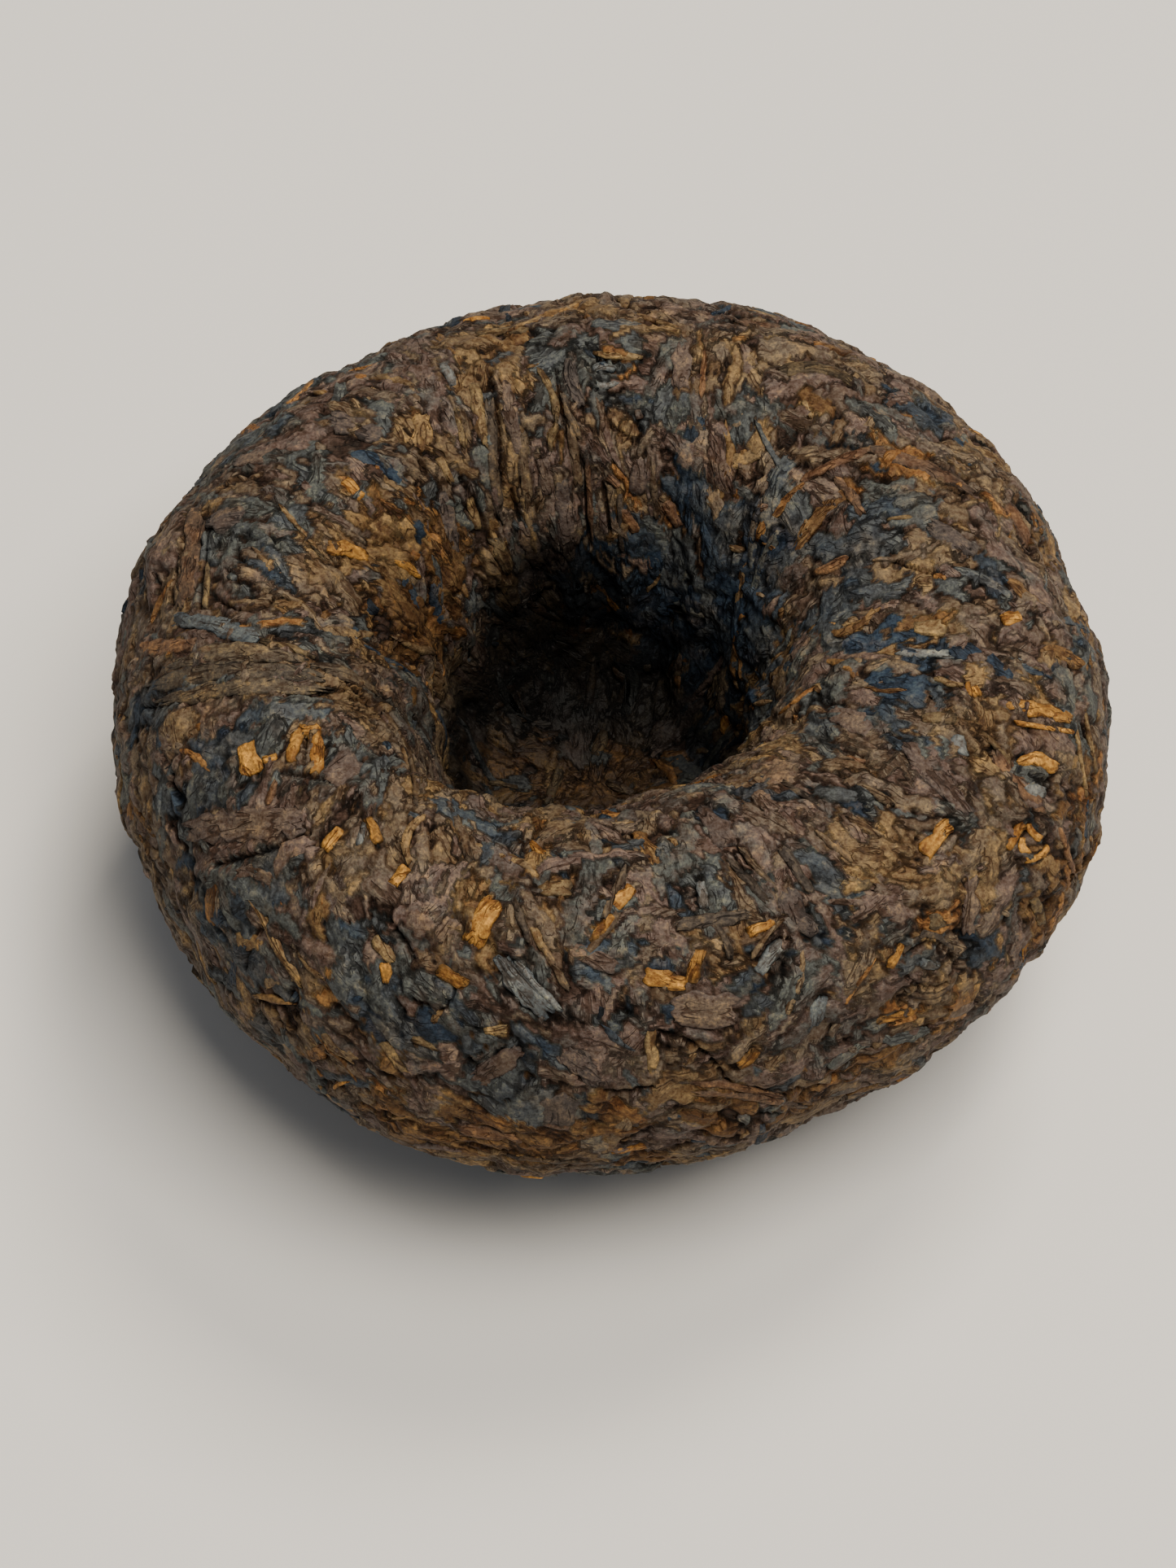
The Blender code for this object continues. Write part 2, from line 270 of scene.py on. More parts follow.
SHOWN_LEAVES = {
    "golden_buds": (
        ((357, 938), (372, 890), 18, -3), ((364, 893), (394, 891), 13, 6), ((388, 951), (386, 890), 19, 3),
        ((300, 912), (312, 952), 28, 0), ((322, 936), (340, 930), 13, 0), ((396, 1045), (419, 1017), 18, 0),
        ((450, 1002), (466, 1037), 14, 0), ((481, 1088), (501, 1064), 20, 0),
        ((576, 1163), (612, 1106), 30, -3), ((536, 1189), (575, 1213), 19, 0),
        ((754, 1115), (778, 1088), 19, 0), ((723, 1158), (754, 1123), 13, 0),
        ((790, 1198), (846, 1212), 22, 0), ((848, 1210), (860, 1165), 18, 0),
        ((917, 1148), (952, 1133), 17, 0), ((905, 1311), (930, 1288), 18, 3),
        ((750, 1416), (796, 1408), 16, 0), ((1230, 762), (1256, 757), 18, 0),
        ((1236, 866), (1320, 884), 21, -3), ((1244, 888), (1322, 900), 9, 0),
        ((1250, 938), (1299, 946), 18, -9), ((1190, 838), (1200, 858), 11, 3),
        ((1135, 1051), (1170, 1012), 22, -2), ((1093, 1192), (1111, 1160), 15, 0),
        ((1240, 1046), (1262, 1012), 14, -4), ((1262, 1012), (1281, 1032), 12, 3),
        ((1256, 1028), (1262, 1052), 14, 2), ((1258, 1058), (1290, 1040), 11, 5),
        ((400, 671), (455, 687), 21, -3), ((472, 1182), (475, 1210), 14, 0), ((420, 590), (448, 612), 20, 0),
        ((1076, 1257), (1128, 1241), 14, 0), ((1196, 842), (1206, 856), 9, 0),
    ),
    "tan_leaf": (
        ((663, 1092), (704, 1090), 24, 0), ((957, 459), (1051, 474), 26, -16),
        ((986, 490), (997, 516), 12, 0), ((1121, 770), (1165, 773), 24, 0),
        ((1131, 882), (1178, 882), 18, 0), ((1029, 1091), (1072, 1086), 18, 0),
        ((1142, 1134), (1172, 1130), 20, 0), ((659, 450), (686, 520), 12, -6),
        ((686, 518), (676, 556), 12, 3), ((800, 1262), (806, 1318), 17, 3), ((255, 690), (251, 748), 9, 0),
        ((341, 618), (394, 679), 8, 0), ((348, 626), (400, 690), 6, 0), ((540, 560), (556, 596), 12, 0),
        ((1268, 1104), (1284, 1136), 16, 0), ((1087, 638), (1122, 634), 7, 0),
        ((1332, 866), (1348, 950), 10, 0), ((458, 1152), (484, 1184), 17, 0),
        ((469, 1279), (497, 1320), 16, 0), ((504, 1276), (543, 1290), 12, 0),
        ((592, 1268), (624, 1265), 14, 0), ((653, 1138), (668, 1168), 11, 0),
        ((1205, 898), (1246, 946), 8, -3), ((1146, 831), (1186, 842), 10, 2),
        ((577, 612), (590, 652), 14, 0), ((606, 660), (628, 706), 20, 0), ((584, 408), (650, 404), 16, 0),
        ((728, 434), (790, 440), 12, 0), ((318, 786), (388, 807), 11, -2), ((1322, 890), (1336, 980), 8, 0),
        ((584, 470), (600, 552), 18, 3), ((672, 990), (690, 940), 14, 0), ((728, 930), (745, 896), 18, 0),
        ((560, 500), (572, 552), 12, 0), ((646, 450), (664, 446), 10, 0), ((600, 960), (640, 968), 9, 0),
    ),
    "red_brown_stems": (
        ((245, 620), (226, 748), 30, 2), ((166, 800), (239, 791), 22, 0), ((845, 1330), (962, 1349), 12, -4),
        ((840, 1344), (990, 1362), 12, -4), ((1222, 918), (1291, 1000), 24, 5),
        ((981, 595), (1071, 553), 14, -5), ((1066, 552), (1196, 608), 24, -9),
        ((1024, 586), (1059, 634), 15, -4), ((866, 428), (862, 492), 9, 0),
        ((1037, 929), (1064, 937), 11, 0), ((997, 708), (1043, 685), 14, 0),
        ((1238, 618), (1260, 672), 28, -2), ((905, 395), (960, 402), 16, 0), ((721, 560), (727, 664), 9, 0),
        ((326, 990), (341, 958), 11, 0), ((560, 1388), (640, 1400), 24, 0), ((645, 740), (690, 764), 14, 0),
        ((1300, 1010), (1322, 1080), 10, 0), ((662, 904), (690, 900), 12, 0),
        ((762, 626), (784, 656), 17, 0), ((816, 616), (836, 650), 18, 0), ((744, 584), (764, 600), 13, 0),
    ),
    "blue_grey_leaf": (
        ((212, 764), (318, 786), 26, -6), ((614, 1172), (676, 1250), 32, 3),
        ((632, 1178), (690, 1244), 10, 2), ((930, 1196), (968, 1158), 20, -3),
        ((543, 444), (558, 474), 14, 0), ((1099, 801), (1173, 803), 16, 0),
        ((1170, 905), (1190, 930), 18, 0), ((728, 455), (756, 455), 12, -5), ((732, 470), (760, 468), 10, 5),
        ((860, 1080), (866, 1118), 14, 0), ((1130, 1182), (1156, 1188), 14, 0),
        ((440, 1040), (448, 1010), 10, 0), ((1010, 1225), (1000, 1262), 22, 0),
        ((1255, 968), (1285, 975), 18, 0),
    ),
    "fan_leaf": (
        ((172, 846), (400, 836), 30, -16), ((190, 866), (410, 850), 24, -14),
        ((200, 820), (380, 812), 24, -12), ((240, 800), (350, 806), 18, -6),
        ((400, 826), (470, 856), 16, -6), ((380, 816), (444, 836), 14, -5),
    ),
    "broad_leaf": (
        ((224, 1022), (376, 1008), 42, 0), ((822, 1240), (906, 1246), 52, 0),
        ((684, 1346), (692, 1386), 44, 0), ((690, 1292), (742, 1330), 30, 0),
        ((402, 512), (470, 536), 34, 0), ((288, 566), (340, 557), 26, 0), ((252, 640), (300, 634), 34, 0),
        ((1195, 1075), (1190, 1150), 26, 0), ((560, 1130), (540, 1160), 26, 0),
        ((700, 1160), (760, 1190), 24, 3), ((960, 1095), (1000, 1150), 28, 0),
        ((400, 960), (440, 930), 40, 0), ((640, 1290), (580, 1330), 30, 0),
        ((1020, 870), (1070, 900), 28, 0), ((860, 990), (900, 1040), 30, 0), ((622, 466), (640, 560), 20, 3),
        ((544, 604), (562, 684), 20, 0), ((642, 640), (664, 700), 22, 0), ((690, 590), (702, 690), 24, 0),
        ((664, 560), (676, 610), 18, 0), ((700, 440), (716, 500), 20, 4), ((790, 560), (780, 610), 22, 0),
        ((840, 420), (836, 480), 26, 0), ((1140, 640), (1200, 680), 28, 0),
        ((1108, 908), (1192, 1003), 26, 0),
    ),
    "brown_leaf": (
        ((484, 862), (527, 984), 11, -12), ((470, 872), (512, 990), 10, -12),
        ((500, 868), (543, 975), 9, -9), ((830, 1141), (930, 1124), 19, -2),
        ((712, 1180), (760, 1120), 12, 3), ((601, 482), (618, 648), 18, 3), ((640, 530), (651, 640), 16, 0),
        ((700, 520), (712, 600), 14, 0), ((893, 1052), (945, 1110), 13, 0), ((905, 1040), (958, 1096), 9, 0),
        ((770, 1060), (740, 1130), 11, 0), ((900, 1180), (880, 1130), 12, 0),
        ((660, 1150), (700, 1220), 10, 0), ((630, 1100), (650, 1160), 10, 0),
        ((620, 1420), (760, 1426), 10, 4), ((960, 1040), (1000, 1100), 16, 0),
        ((1000, 1020), (1050, 1060), 10, 0), ((925, 1180), (962, 1128), 8, -4),
        ((1110, 1215), (1178, 1196), 10, 20), ((1112, 1172), (1172, 1168), 9, -22),
        ((745, 960), (800, 985), 14, 0), ((560, 1000), (580, 1060), 14, 0), ((690, 480), (716, 540), 11, 3),
        ((760, 600), (764, 680), 12, 0), ((800, 560), (806, 640), 10, 0), ((640, 600), (662, 690), 12, 0),
        ((1050, 960), (1100, 990), 12, 0), ((1040, 1000), (1086, 1030), 12, 0),
        ((960, 960), (1010, 990), 10, 0),
    ),
}
# Cracks and folds that go deeper than the leaf's own joints: two ends, width and the middle's stand-off.
SHOWN_CRACKS = (
    ((263, 1064), (380, 1025), 7, 2), ((813, 1269), (896, 1332), 7, -12), ((1122, 545), (1204, 595), 7, 5),
    ((600, 455), (615, 590), 8, -5), ((567, 587), (604, 670), 9, -3), ((629, 603), (655, 697), 7, 0),
    ((721, 572), (725, 670), 8, 2), ((741, 595), (749, 650), 7, 0), ((684, 454), (721, 579), 7, 8),
    ((741, 517), (780, 544), 6, 0), ((255, 725), (345, 733), 6, 20), ((430, 860), (493, 892), 8, -6),
    ((300, 590), (258, 612), 6, 5), ((443, 852), (512, 985), 5, -14), ((462, 845), (528, 975), 5, -14),
    ((1270, 634), (1278, 673), 7, -6), ((1264, 950), (1296, 958), 9, 4), ((470, 1120), (508, 1178), 7, -2),
    ((545, 1242), (560, 1206), 6, 3), ((640, 1236), (688, 1252), 5, 0), ((745, 1342), (800, 1336), 8, 3),
    ((1112, 1200), (1175, 1185), 5, 22), ((1115, 1172), (1170, 1176), 5, -16),
    ((930, 1180), (968, 1152), 5, -6), ((1033, 920), (1062, 928), 6, 0), ((726, 448), (766, 456), 5, -12),
    ((724, 470), (768, 474), 5, 12), ((330, 1130), (300, 1190), 7, 5), ((210, 940), (222, 985), 8, 3),
    ((250, 1240), (330, 1290), 6, 0), ((870, 1385), (960, 1368), 6, -2), ((545, 1395), (700, 1428), 6, 3),
    ((517, 566), (522, 580), 14, 0), ((394, 500), (398, 508), 9, 0), ((1100, 690), (1160, 706), 5, 3),
    ((1010, 700), (1045, 684), 5, 0), ((377, 896), (372, 938), 6, 0), ((176, 871), (380, 845), 5, -7),
    ((380, 845), (436, 850), 6, -2), ((436, 850), (494, 896), 12, -5), ((345, 948), (400, 956), 6, 0),
    ((230, 636), (209, 746), 6, 2), ((262, 630), (245, 748), 6, 2), ((300, 650), (322, 662), 8, 6),
    ((290, 672), (300, 690), 8, 3), ((318, 684), (334, 700), 7, -3), ((280, 700), (304, 716), 7, 4),
    ((330, 655), (344, 676), 6, 0), ((306, 735), (330, 728), 6, 0),
)
# Leaf that shows by its colour alone: its middle, and how far it reaches. Mostly it is the leaf's own colour,
# but the navy, dusk and slate down the hollow's right wall and in its depths, and the dusk, purple and umber
# along the lower front, are painted shade, and the ochre, umber and orange at the right-hand edge are painted
# warm reflected light.
SHOWN_PATCHES = {
    "slate": (
        (935, 880, 40), (960, 625, 36), (1040, 660, 46), (310, 1190, 46), (440, 1190, 34), (250, 1110, 34),
        (470, 1232, 28), (600, 1310, 44), (280, 640, 34), (1000, 850, 36), (1150, 985, 24), (860, 900, 30),
        (1020, 780, 30), (700, 1240, 26), (190, 900, 30), (300, 700, 50), (249, 950, 34), (340, 985, 26),
        (447, 1150, 26), (550, 1300, 34), (640, 1340, 30), (340, 640, 40), (430, 480, 26), (1010, 900, 30),
        (1160, 860, 26), (240, 1060, 24), (1080, 700, 34), (1000, 760, 36), (1050, 985, 30),
        (1010, 1080, 26), (1120, 1165, 26), (620, 440, 24), (745, 500, 30), (820, 500, 30), (960, 500, 26),
        (560, 480, 24), (230, 1000, 30),
    ),
    "dusk": (
        (905, 700, 60), (905, 800, 60), (870, 600, 40), (905, 840, 46), (930, 760, 50), (940, 690, 36),
        (860, 720, 30), (276, 700, 30), (330, 640, 24), (250, 930, 26), (205, 1000, 26), (270, 1100, 30),
        (340, 1210, 26), (430, 1130, 20), (700, 622, 20), (785, 652, 20), (645, 655, 16), (600, 1020, 20),
        (700, 1046, 16), (765, 1036, 16), (880, 1000, 18), (940, 960, 20), (560, 1340, 22), (720, 1352, 20),
        (930, 1332, 22), (780, 1326, 18), (1040, 1370, 22), (440, 1330, 22), (1060, 540, 18),
        (1150, 660, 20), (1250, 920, 16), (180, 900, 20), (1100, 900, 20), (1180, 1045, 20), (1080, 690, 20),
        (1040, 730, 24),
    ),
    "navy": (
        (839, 594, 26), (928, 628, 24), (938, 680, 20), (760, 720, 40), (830, 735, 40), (790, 690, 24),
        (917, 883, 26), (1135, 802, 22), (1105, 800, 20), (1095, 854, 16), (236, 1064, 28), (484, 1135, 20),
        (372, 1248, 14), (812, 1145, 14), (870, 930, 24), (550, 400, 12), (860, 800, 30), (890, 740, 24),
        (632, 1190, 9), (1030, 780, 12), (562, 455, 14), (700, 1415, 14), (805, 1235, 12), (740, 748, 46),
        (800, 762, 48), (850, 760, 36), (790, 712, 34), (870, 870, 30), (905, 900, 20),
    ),
    "teal": (
        (286, 1111, 26), (407, 1072, 16), (275, 638, 30), (392, 600, 28), (741, 462, 20), (657, 512, 18),
        (880, 505, 30), (965, 533, 22), (1110, 611, 22), (645, 1215, 26), (860, 1100, 18), (945, 1190, 18),
        (430, 1180, 24), (300, 800, 20), (450, 950, 40), (1265, 970, 22), (990, 1240, 34), (720, 420, 20),
        (470, 560, 24), (1080, 880, 20), (920, 1240, 16), (350, 1180, 26), (1180, 1010, 24), (800, 470, 24),
        (290, 640, 50), (310, 640, 46), (290, 700, 36), (440, 930, 34), (875, 1088, 18), (815, 1350, 26),
        (600, 500, 20), (690, 470, 22), (560, 620, 16), (350, 560, 22), (1090, 1130, 22),
    ),
    "purple": (
        (300, 1015, 36), (350, 1010, 34), (309, 562, 26), (684, 1365, 36), (590, 1392, 30), (528, 1255, 26),
        (864, 1245, 40), (200, 680, 26), (160, 1000, 30), (1150, 960, 24), (1270, 985, 20), (364, 1154, 34),
        (820, 440, 26), (600, 405, 20), (1180, 530, 30), (420, 470, 30), (1300, 720, 26), (720, 1290, 34),
        (960, 1380, 30), (190, 1120, 26), (1020, 690, 22), (690, 620, 30), (600, 1140, 18), (520, 1350, 34),
        (800, 1400, 34), (760, 1350, 30), (1060, 1330, 30), (840, 560, 24), (540, 1312, 30),
    ),
    "ochre": (
        (588, 630, 20), (616, 684, 22), (430, 740, 24), (660, 470, 14), (681, 530, 12), (617, 411, 20),
        (650, 405, 18), (595, 1130, 26), (680, 1091, 22), (1141, 771, 28), (1051, 1093, 22),
        (1155, 1131, 20), (1272, 1113, 26), (1340, 900, 16), (1320, 1000, 18), (606, 1267, 22),
        (483, 1300, 24), (440, 700, 26), (520, 540, 20), (1000, 490, 16), (700, 960, 26), (760, 1000, 26),
        (470, 640, 24), (1190, 730, 14), (555, 500, 18), (1100, 1290, 26), (1230, 1140, 20), (400, 1130, 16),
        (1290, 860, 20), (1300, 1060, 22), (1240, 822, 20), (1250, 1090, 22), (1200, 1190, 22),
        (1300, 700, 26), (490, 700, 30), (600, 640, 22), (1310, 960, 22),
    ),
    "umber": (
        (474, 752, 34), (500, 820, 30), (500, 760, 44), (520, 860, 36), (540, 690, 36), (470, 800, 34),
        (560, 660, 26), (680, 950, 50), (640, 930, 44), (760, 960, 46), (820, 950, 30), (650, 1030, 20),
        (560, 930, 26), (500, 1384, 34), (1010, 1340, 34), (600, 1366, 36), (760, 1384, 40), (1345, 960, 34),
        (1335, 1050, 38), (1305, 1110, 34), (1275, 1165, 30), (1350, 810, 30), (1345, 880, 32),
        (1318, 1000, 26), (560, 1395, 36), (660, 1412, 34), (900, 1362, 46), (980, 1362, 34),
        (800, 1420, 26), (470, 1350, 30), (560, 1370, 30), (640, 1384, 34), (720, 1396, 38), (880, 1384, 34),
        (1080, 1300, 34), (1180, 1240, 30), (540, 760, 40), (520, 640, 24),
    ),
    "orange": (
        (753, 591, 13), (772, 642, 15), (825, 632, 17), (589, 438, 11), (755, 436, 16), (782, 436, 10),
        (500, 620, 18), (525, 640, 15), (478, 619, 14), (1043, 521, 12), (1038, 605, 15), (1120, 565, 15),
        (1160, 585, 12), (1243, 640, 16), (1038, 600, 22), (1104, 574, 24), (1166, 592, 20), (334, 762, 13),
        (396, 1225, 14), (370, 500, 14), (655, 1150, 10), (740, 1140, 13), (1243, 759, 13), (1162, 1133, 14),
        (1100, 1248, 16), (680, 755, 16), (215, 795, 14), (1310, 905, 12), (1348, 930, 16), (1334, 1006, 16),
        (1318, 1070, 16), (1292, 1130, 16), (1352, 860, 14), (670, 915, 16),
    ),
}
# Where each kind of patch lies on the leaf's ramp of colours, and how far its leaves stray from that.
PATCH_TINTS = {
    "slate": (0.22, 0.04), "dusk": (0.16, 0.03), "navy": (0.07, 0.03), "teal": (0.29, 0.04),
    "purple": (0.40, 0.03), "ochre": (0.78, 0.05), "umber": (0.88, 0.03), "orange": (0.97, 0.02),
}
STRIP_STEP = 8  # pixels between the points that a shown strip follows
LONGEST_JUMP = 6  # steps; past it the strip would leap over the lip into the hollow


def seen_path(start, end, bend):
    """The points and outward ways of the skin along a shown strip, from one end to the other."""
    span = Vector(end) - Vector(start)
    count = max(3, round((span.length + 2 * abs(bend)) / STRIP_STEP))
    aside = Vector((-span.y, span.x)).normalized() * bend
    path = []
    for step in range(count + 1):
        share = step / count
        pixel = Vector(start) + span * share + aside * 4 * share * (1 - share)
        place, out, _, _ = skin_tree.ray_cast(camera.location, through_pixel(*pixel))
        jump = (place - path[-1][0]).length if path and place is not None else 0.0
        if place is not None and not jump > LONGEST_JUMP * STRIP_STEP * PIXEL:
            path.append((place, out))
    return path


def seen_paths(strips):
    """The path of each strip, and its real width."""
    return [(seen_path(start, end, bend), width * PIXEL) for start, end, width, bend in strips]


shown_paths = {kind: seen_paths(strips) for kind, strips in SHOWN_LEAVES.items()}
shown_strips = [strip for strips in shown_paths.values() for strip in strips]
crack_paths = seen_paths(SHOWN_CRACKS)
patches = []
for kind, spots in SHOWN_PATCHES.items():
    for x, y, reach in spots:
        place, _, _, _ = skin_tree.ray_cast(camera.location, through_pixel(x, y))
        if place is not None:
            patches.append((place, reach * PIXEL, *PATCH_TINTS[kind]))

# Which way the leaf lies. It swirls as it was tumbled into the bag, runs down into the hollow where the punch
# drew it, and lies alongside each leaf that can be told apart.
SWIRL_SIZE = 0.0036
SWIRL_TURNS = 2.4
PUNCH_REACH = 0.0040  # how far inside the crest the punch has drawn all the leaf down
GUIDE_REACH = 0.0013
GUIDE_PULL = 4.0


def drifting(size, offset):
    """Noise over the skin that changes over the given size."""
    spots = coarse_grid / size + np.array(offset)
    return filled_in(np.array([[noise.noise(Vector(spot)) for spot in row] for row in spots]))


turn = SWIRL_TURNS * math.tau * drifting(SWIRL_SIZE, (3.1, 1.7, 9.2))
down_from_middle = profile.length * np.arange(ROWS + 1) / ROWS
punched = [1 - smooth_share(far, profile.crest - PUNCH_REACH, profile.crest) for far in down_from_middle]
lie_cos = np.cos(turn) + np.array(punched)[:, None]
lie_sin = np.sin(turn)
for path, width in shown_strips:
    if len(path) < 2:
        continue
    middle = path[len(path) // 2][0]
    nearness = np.exp(-np.sum((grid - np.array(middle)) ** 2, axis=2) / GUIDE_REACH**2) * GUIDE_PULL
    along = np.array((path[-1][0] - path[0][0]).normalized())
    turn = 2 * np.arctan2(around_ways @ along, down_ways @ along)
    lie_cos += nearness * np.cos(turn)
    lie_sin += nearness * np.sin(turn)
lie = np.arctan2(lie_sin, lie_cos) / 2
lie_ways = down_ways * np.cos(lie)[..., None] + around_ways * np.sin(lie)[..., None]
cross_ways = np.cross(outward_ways, lie_ways)

# ---------------------------------------------------------------------------------------------------------
# The matted leaf. Thousands of torn leaves, stuck together by their own juice and pressed level by the cloth,
# overlap so closely that only a thin dark joint shows where one goes under the next.

# How many; length, width, dome, and lowest and highest lie in millimetres; and how far astray they lie.
FLAKE_KINDS = (
    (1700, (1.4, 3.6), (0.7, 1.7), 0.035, (-0.06, 0.008), 0.5),
    (3300, (0.9, 2.6), (0.34, 0.80), 0.045, (-0.07, 0.024), 0.45),
    (3400, (0.35, 1.0), (0.18, 0.42), 0.040, (-0.065, 0.012), 0.9),
)
BED_DEPTH = 0.00009  # how deep the crumb lies where no leaf covers it, dark with painted shade
EDGE_FALL = 0.00012
EDGE_FROM = 0.84  # the share of the way out at which a leaf starts to fall to its edge
LEAF_BOW = 0.22
EDGE_WAVER = 0.12
END_WAVER = 0.10
TORN_WIDE = 0.25
TORN_FINE = 0.18
END_SHARPNESS = 2.6
END_ROUNDNESS = 0.45
LEAF_TILT = 0.02  # millimetres
RIB_HEIGHT = 0.0035  # millimetres
RIBS = 15  # radians of the ribs' wave in each millimetre
CRUMPLE_SIZE = 0.0009
CRUMPLE_HEIGHT = 0.00004
JOINT_DEPTH = 0.00007  # how deep the joint between two leaves goes, where it is open
JOINT_PATCH = 0.0011  # over this distance joints go from open to shut
CRUMB_SIZE = 0.00022
CRUMB_HEIGHT = 0.000030
TROUGH_DEPTH = 0.00003
TROUGH_SLOPE = 3.0
CRACK_CUT = 0.00017
CRACK_WIDTH = 0.3  # the share of a crack's width that is cut to its full depth
CRACK_SLOPE = 2.2
CUT_REACH = 2.5  # a cut ends this many half widths away
PLAIN_TINT = 0.47  # where most leaf lies on the ramp of colours
PLAIN_TINTS = (0.19, 0.59)  # the least and the most that it strays to
PLAIN_SWAY = 0.09
OCHRE_FROM = 0.70  # where the ramp of colours turns ochre, which only the patches do
RISE_SPAN = 0.00030  # from the depth whose painted shade is darkest to the height that is palest, about the skin
row_step = profile.length / ROWS
radii = np.array([profile.at(row_step * row)[0] for row in range(ROWS + 1)])

draw = np.random.default_rng(17)
relief = np.full(grid.shape[:2], -BED_DEPTH)
owner = np.zeros(grid.shape[:2], int)
seats, tints, owns = [np.zeros(3)], [0.4], [0]
alongs, acrosses = [np.array((1.0, 0, 0))], [np.array((0, 1.0, 0))]
tint_here = PLAIN_TINT + 0.44 * drifting(0.0026, (4.4, 8.1, 2.6)) + 0.24 * drifting(0.0011, (2.7, 0.4, 6.6))
tint_here = tint_here.clip(*PLAIN_TINTS)
tint_sway = np.full(grid.shape[:2], PLAIN_SWAY)
for place, reach, tint, sway in patches:
    inside = np.linalg.norm(grid - np.array(place), axis=2) < reach
    tint_here[inside] = tint
    tint_sway[inside] = sway


def near_block(row, column, reach):
    """The rows and columns of the grid within reach of one of its points."""
    rows_off = int(reach / row_step) + 1
    rows = np.arange(max(0, row - rows_off), min(ROWS, row + rows_off) + 1)
    spacing = max(radii[row] - 0.5 * reach, 0.0) * math.tau / COLUMNS
    half = COLUMNS // 2 if spacing * COLUMNS < 2.2 * reach else min(COLUMNS // 2, int(reach / spacing) + 1)
    return np.ix_(rows, (column + np.arange(-half, half)) % COLUMNS)


def smooth_step(values, start, end):
    """smooth_share, for a whole array."""
    share = np.clip((values - start) / (end - start), 0, 1)
    return share * share * (3 - 2 * share)


def lay_flake(row, column, length, width, dome, lift, stray):
    """Presses one torn leaf into the skin where it stands highest, and marks its points as its own."""
    turn = draw.normal(0, stray)
    along = lie_ways[row, column] * math.cos(turn) + cross_ways[row, column] * math.sin(turn)
    across = np.cross(outward_ways[row, column], along)
    block = near_block(row, column, math.hypot(length, width) / 2)
    off = grid[block] - grid[row, column]
    s = off @ along / (length / 2)
    side = off @ across / (width / 2)
    phases = draw.uniform(0, math.tau, 6)
    bow = draw.normal(0, LEAF_BOW)
    side = side - bow * (1 - s * s) - EDGE_WAVER * np.sin(4 * s + phases[0])
    torn = TORN_WIDE * np.sin(5 * s + phases[1] + np.sign(side))
    torn = torn + TORN_FINE * np.sin(13 * s + phases[2] * np.sign(side))
    ends = (1 - np.abs(s) ** END_SHARPNESS).clip(0) ** END_ROUNDNESS
    side = side / np.maximum(ends * (1 + torn), 0.02)
    s = s * (1 + END_WAVER * np.sin(4 * side + phases[3]))
    edge = np.maximum(np.abs(s), np.abs(side))
    tilt, pitch = draw.normal(0, LEAF_TILT, 2) * MM
    ribs = RIB_HEIGHT * np.sin(side * width / MM * RIBS + 1.5 * np.sin(2.5 * s + phases[4]) + phases[5])
    height = lift + dome * (1 - np.abs(side) ** 3) + tilt * side + pitch * s + ribs * MM
    height = height - EDGE_FALL * smooth_step(edge, EDGE_FROM, 1.0)
    level = off @ outward_ways[row, column]
    wins = (edge < 1) & (height > relief[block]) & (np.abs(level) < length / 2)
    held = relief[block]
    held[wins] = height[wins]
    relief[block] = held
    marks = owner[block]
    marks[wins] = len(seats)
    owner[block] = marks
    seats.append(grid[row, column])
    alongs.append(along)
    acrosses.append(across)
    ochrest = 0.98 if tint_here[row, column] > OCHRE_FROM else OCHRE_FROM
    tints.append(min(max(draw.normal(tint_here[row, column], tint_sway[row, column]), 0.02), ochrest))
    owns.append(draw.uniform())


def lay_kind(number, lengths, widths, dome, lifts, stray):
    """Scatters one kind of torn leaf evenly over the skin."""
    chosen = draw.choice(ROWS + 1, size=number, p=radii / radii.sum())
    for row, column in zip(chosen.tolist(), draw.integers(COLUMNS, size=number).tolist()):
        lay_flake(row, column, draw.uniform(*lengths) * MM, draw.uniform(*widths) * MM, dome * MM,
                  draw.uniform(*lifts) * MM, stray)


def cut_along(path, half, depth, slope):
    """Lowers the relief to depth within half of a path on the skin, and less on the slopes beside it."""
    points = np.array([place for place, _ in path])
    for a, b in zip(points, points[1:]):
        span = b - a
        share = np.clip((grid - a) @ span / max(span @ span, 1e-12), 0, 1)
        far = np.linalg.norm(grid - a - share[..., None] * span, axis=2)
        limit = -depth + (far > half) * (far - half) * slope
        near = far < half * CUT_REACH
        relief[near] = np.minimum(relief[near], limit[near])


lay_kind(*FLAKE_KINDS[0])
lay_kind(*FLAKE_KINDS[1])
for path, width in shown_strips:
    cut_along(path[:: max(1, len(path) // 5)] + path[-1:], width / 2, TROUGH_DEPTH, TROUGH_SLOPE)
lay_kind(*FLAKE_KINDS[2])

# A joint is where the next point along or round the skin belongs to another leaf.
joint = np.zeros_like(relief)
for axis in (0, 1):
    for way in (1, -1):
        joint += (owner != np.roll(owner, way, axis)) * 0.34
joint = joint.clip(0, 1)
joint *= smooth_step(drifting(JOINT_PATCH, (7.7, 0.0, 0.0)), -0.35, 0.35)
relief -= JOINT_DEPTH * joint
creased = np.abs(drifting(CRUMPLE_SIZE, (1.3, 5.0, 2.0)))
creased = creased + 0.5 * np.abs(drifting(CRUMPLE_SIZE / 2.1, (9.0, 4.0, 1.0)))
relief += CRUMPLE_HEIGHT * (2.5 * creased - 0.6)
for path, width in crack_paths:
    cut_along(path, width / 2 * CRACK_WIDTH, CRACK_CUT, CRACK_SLOPE)

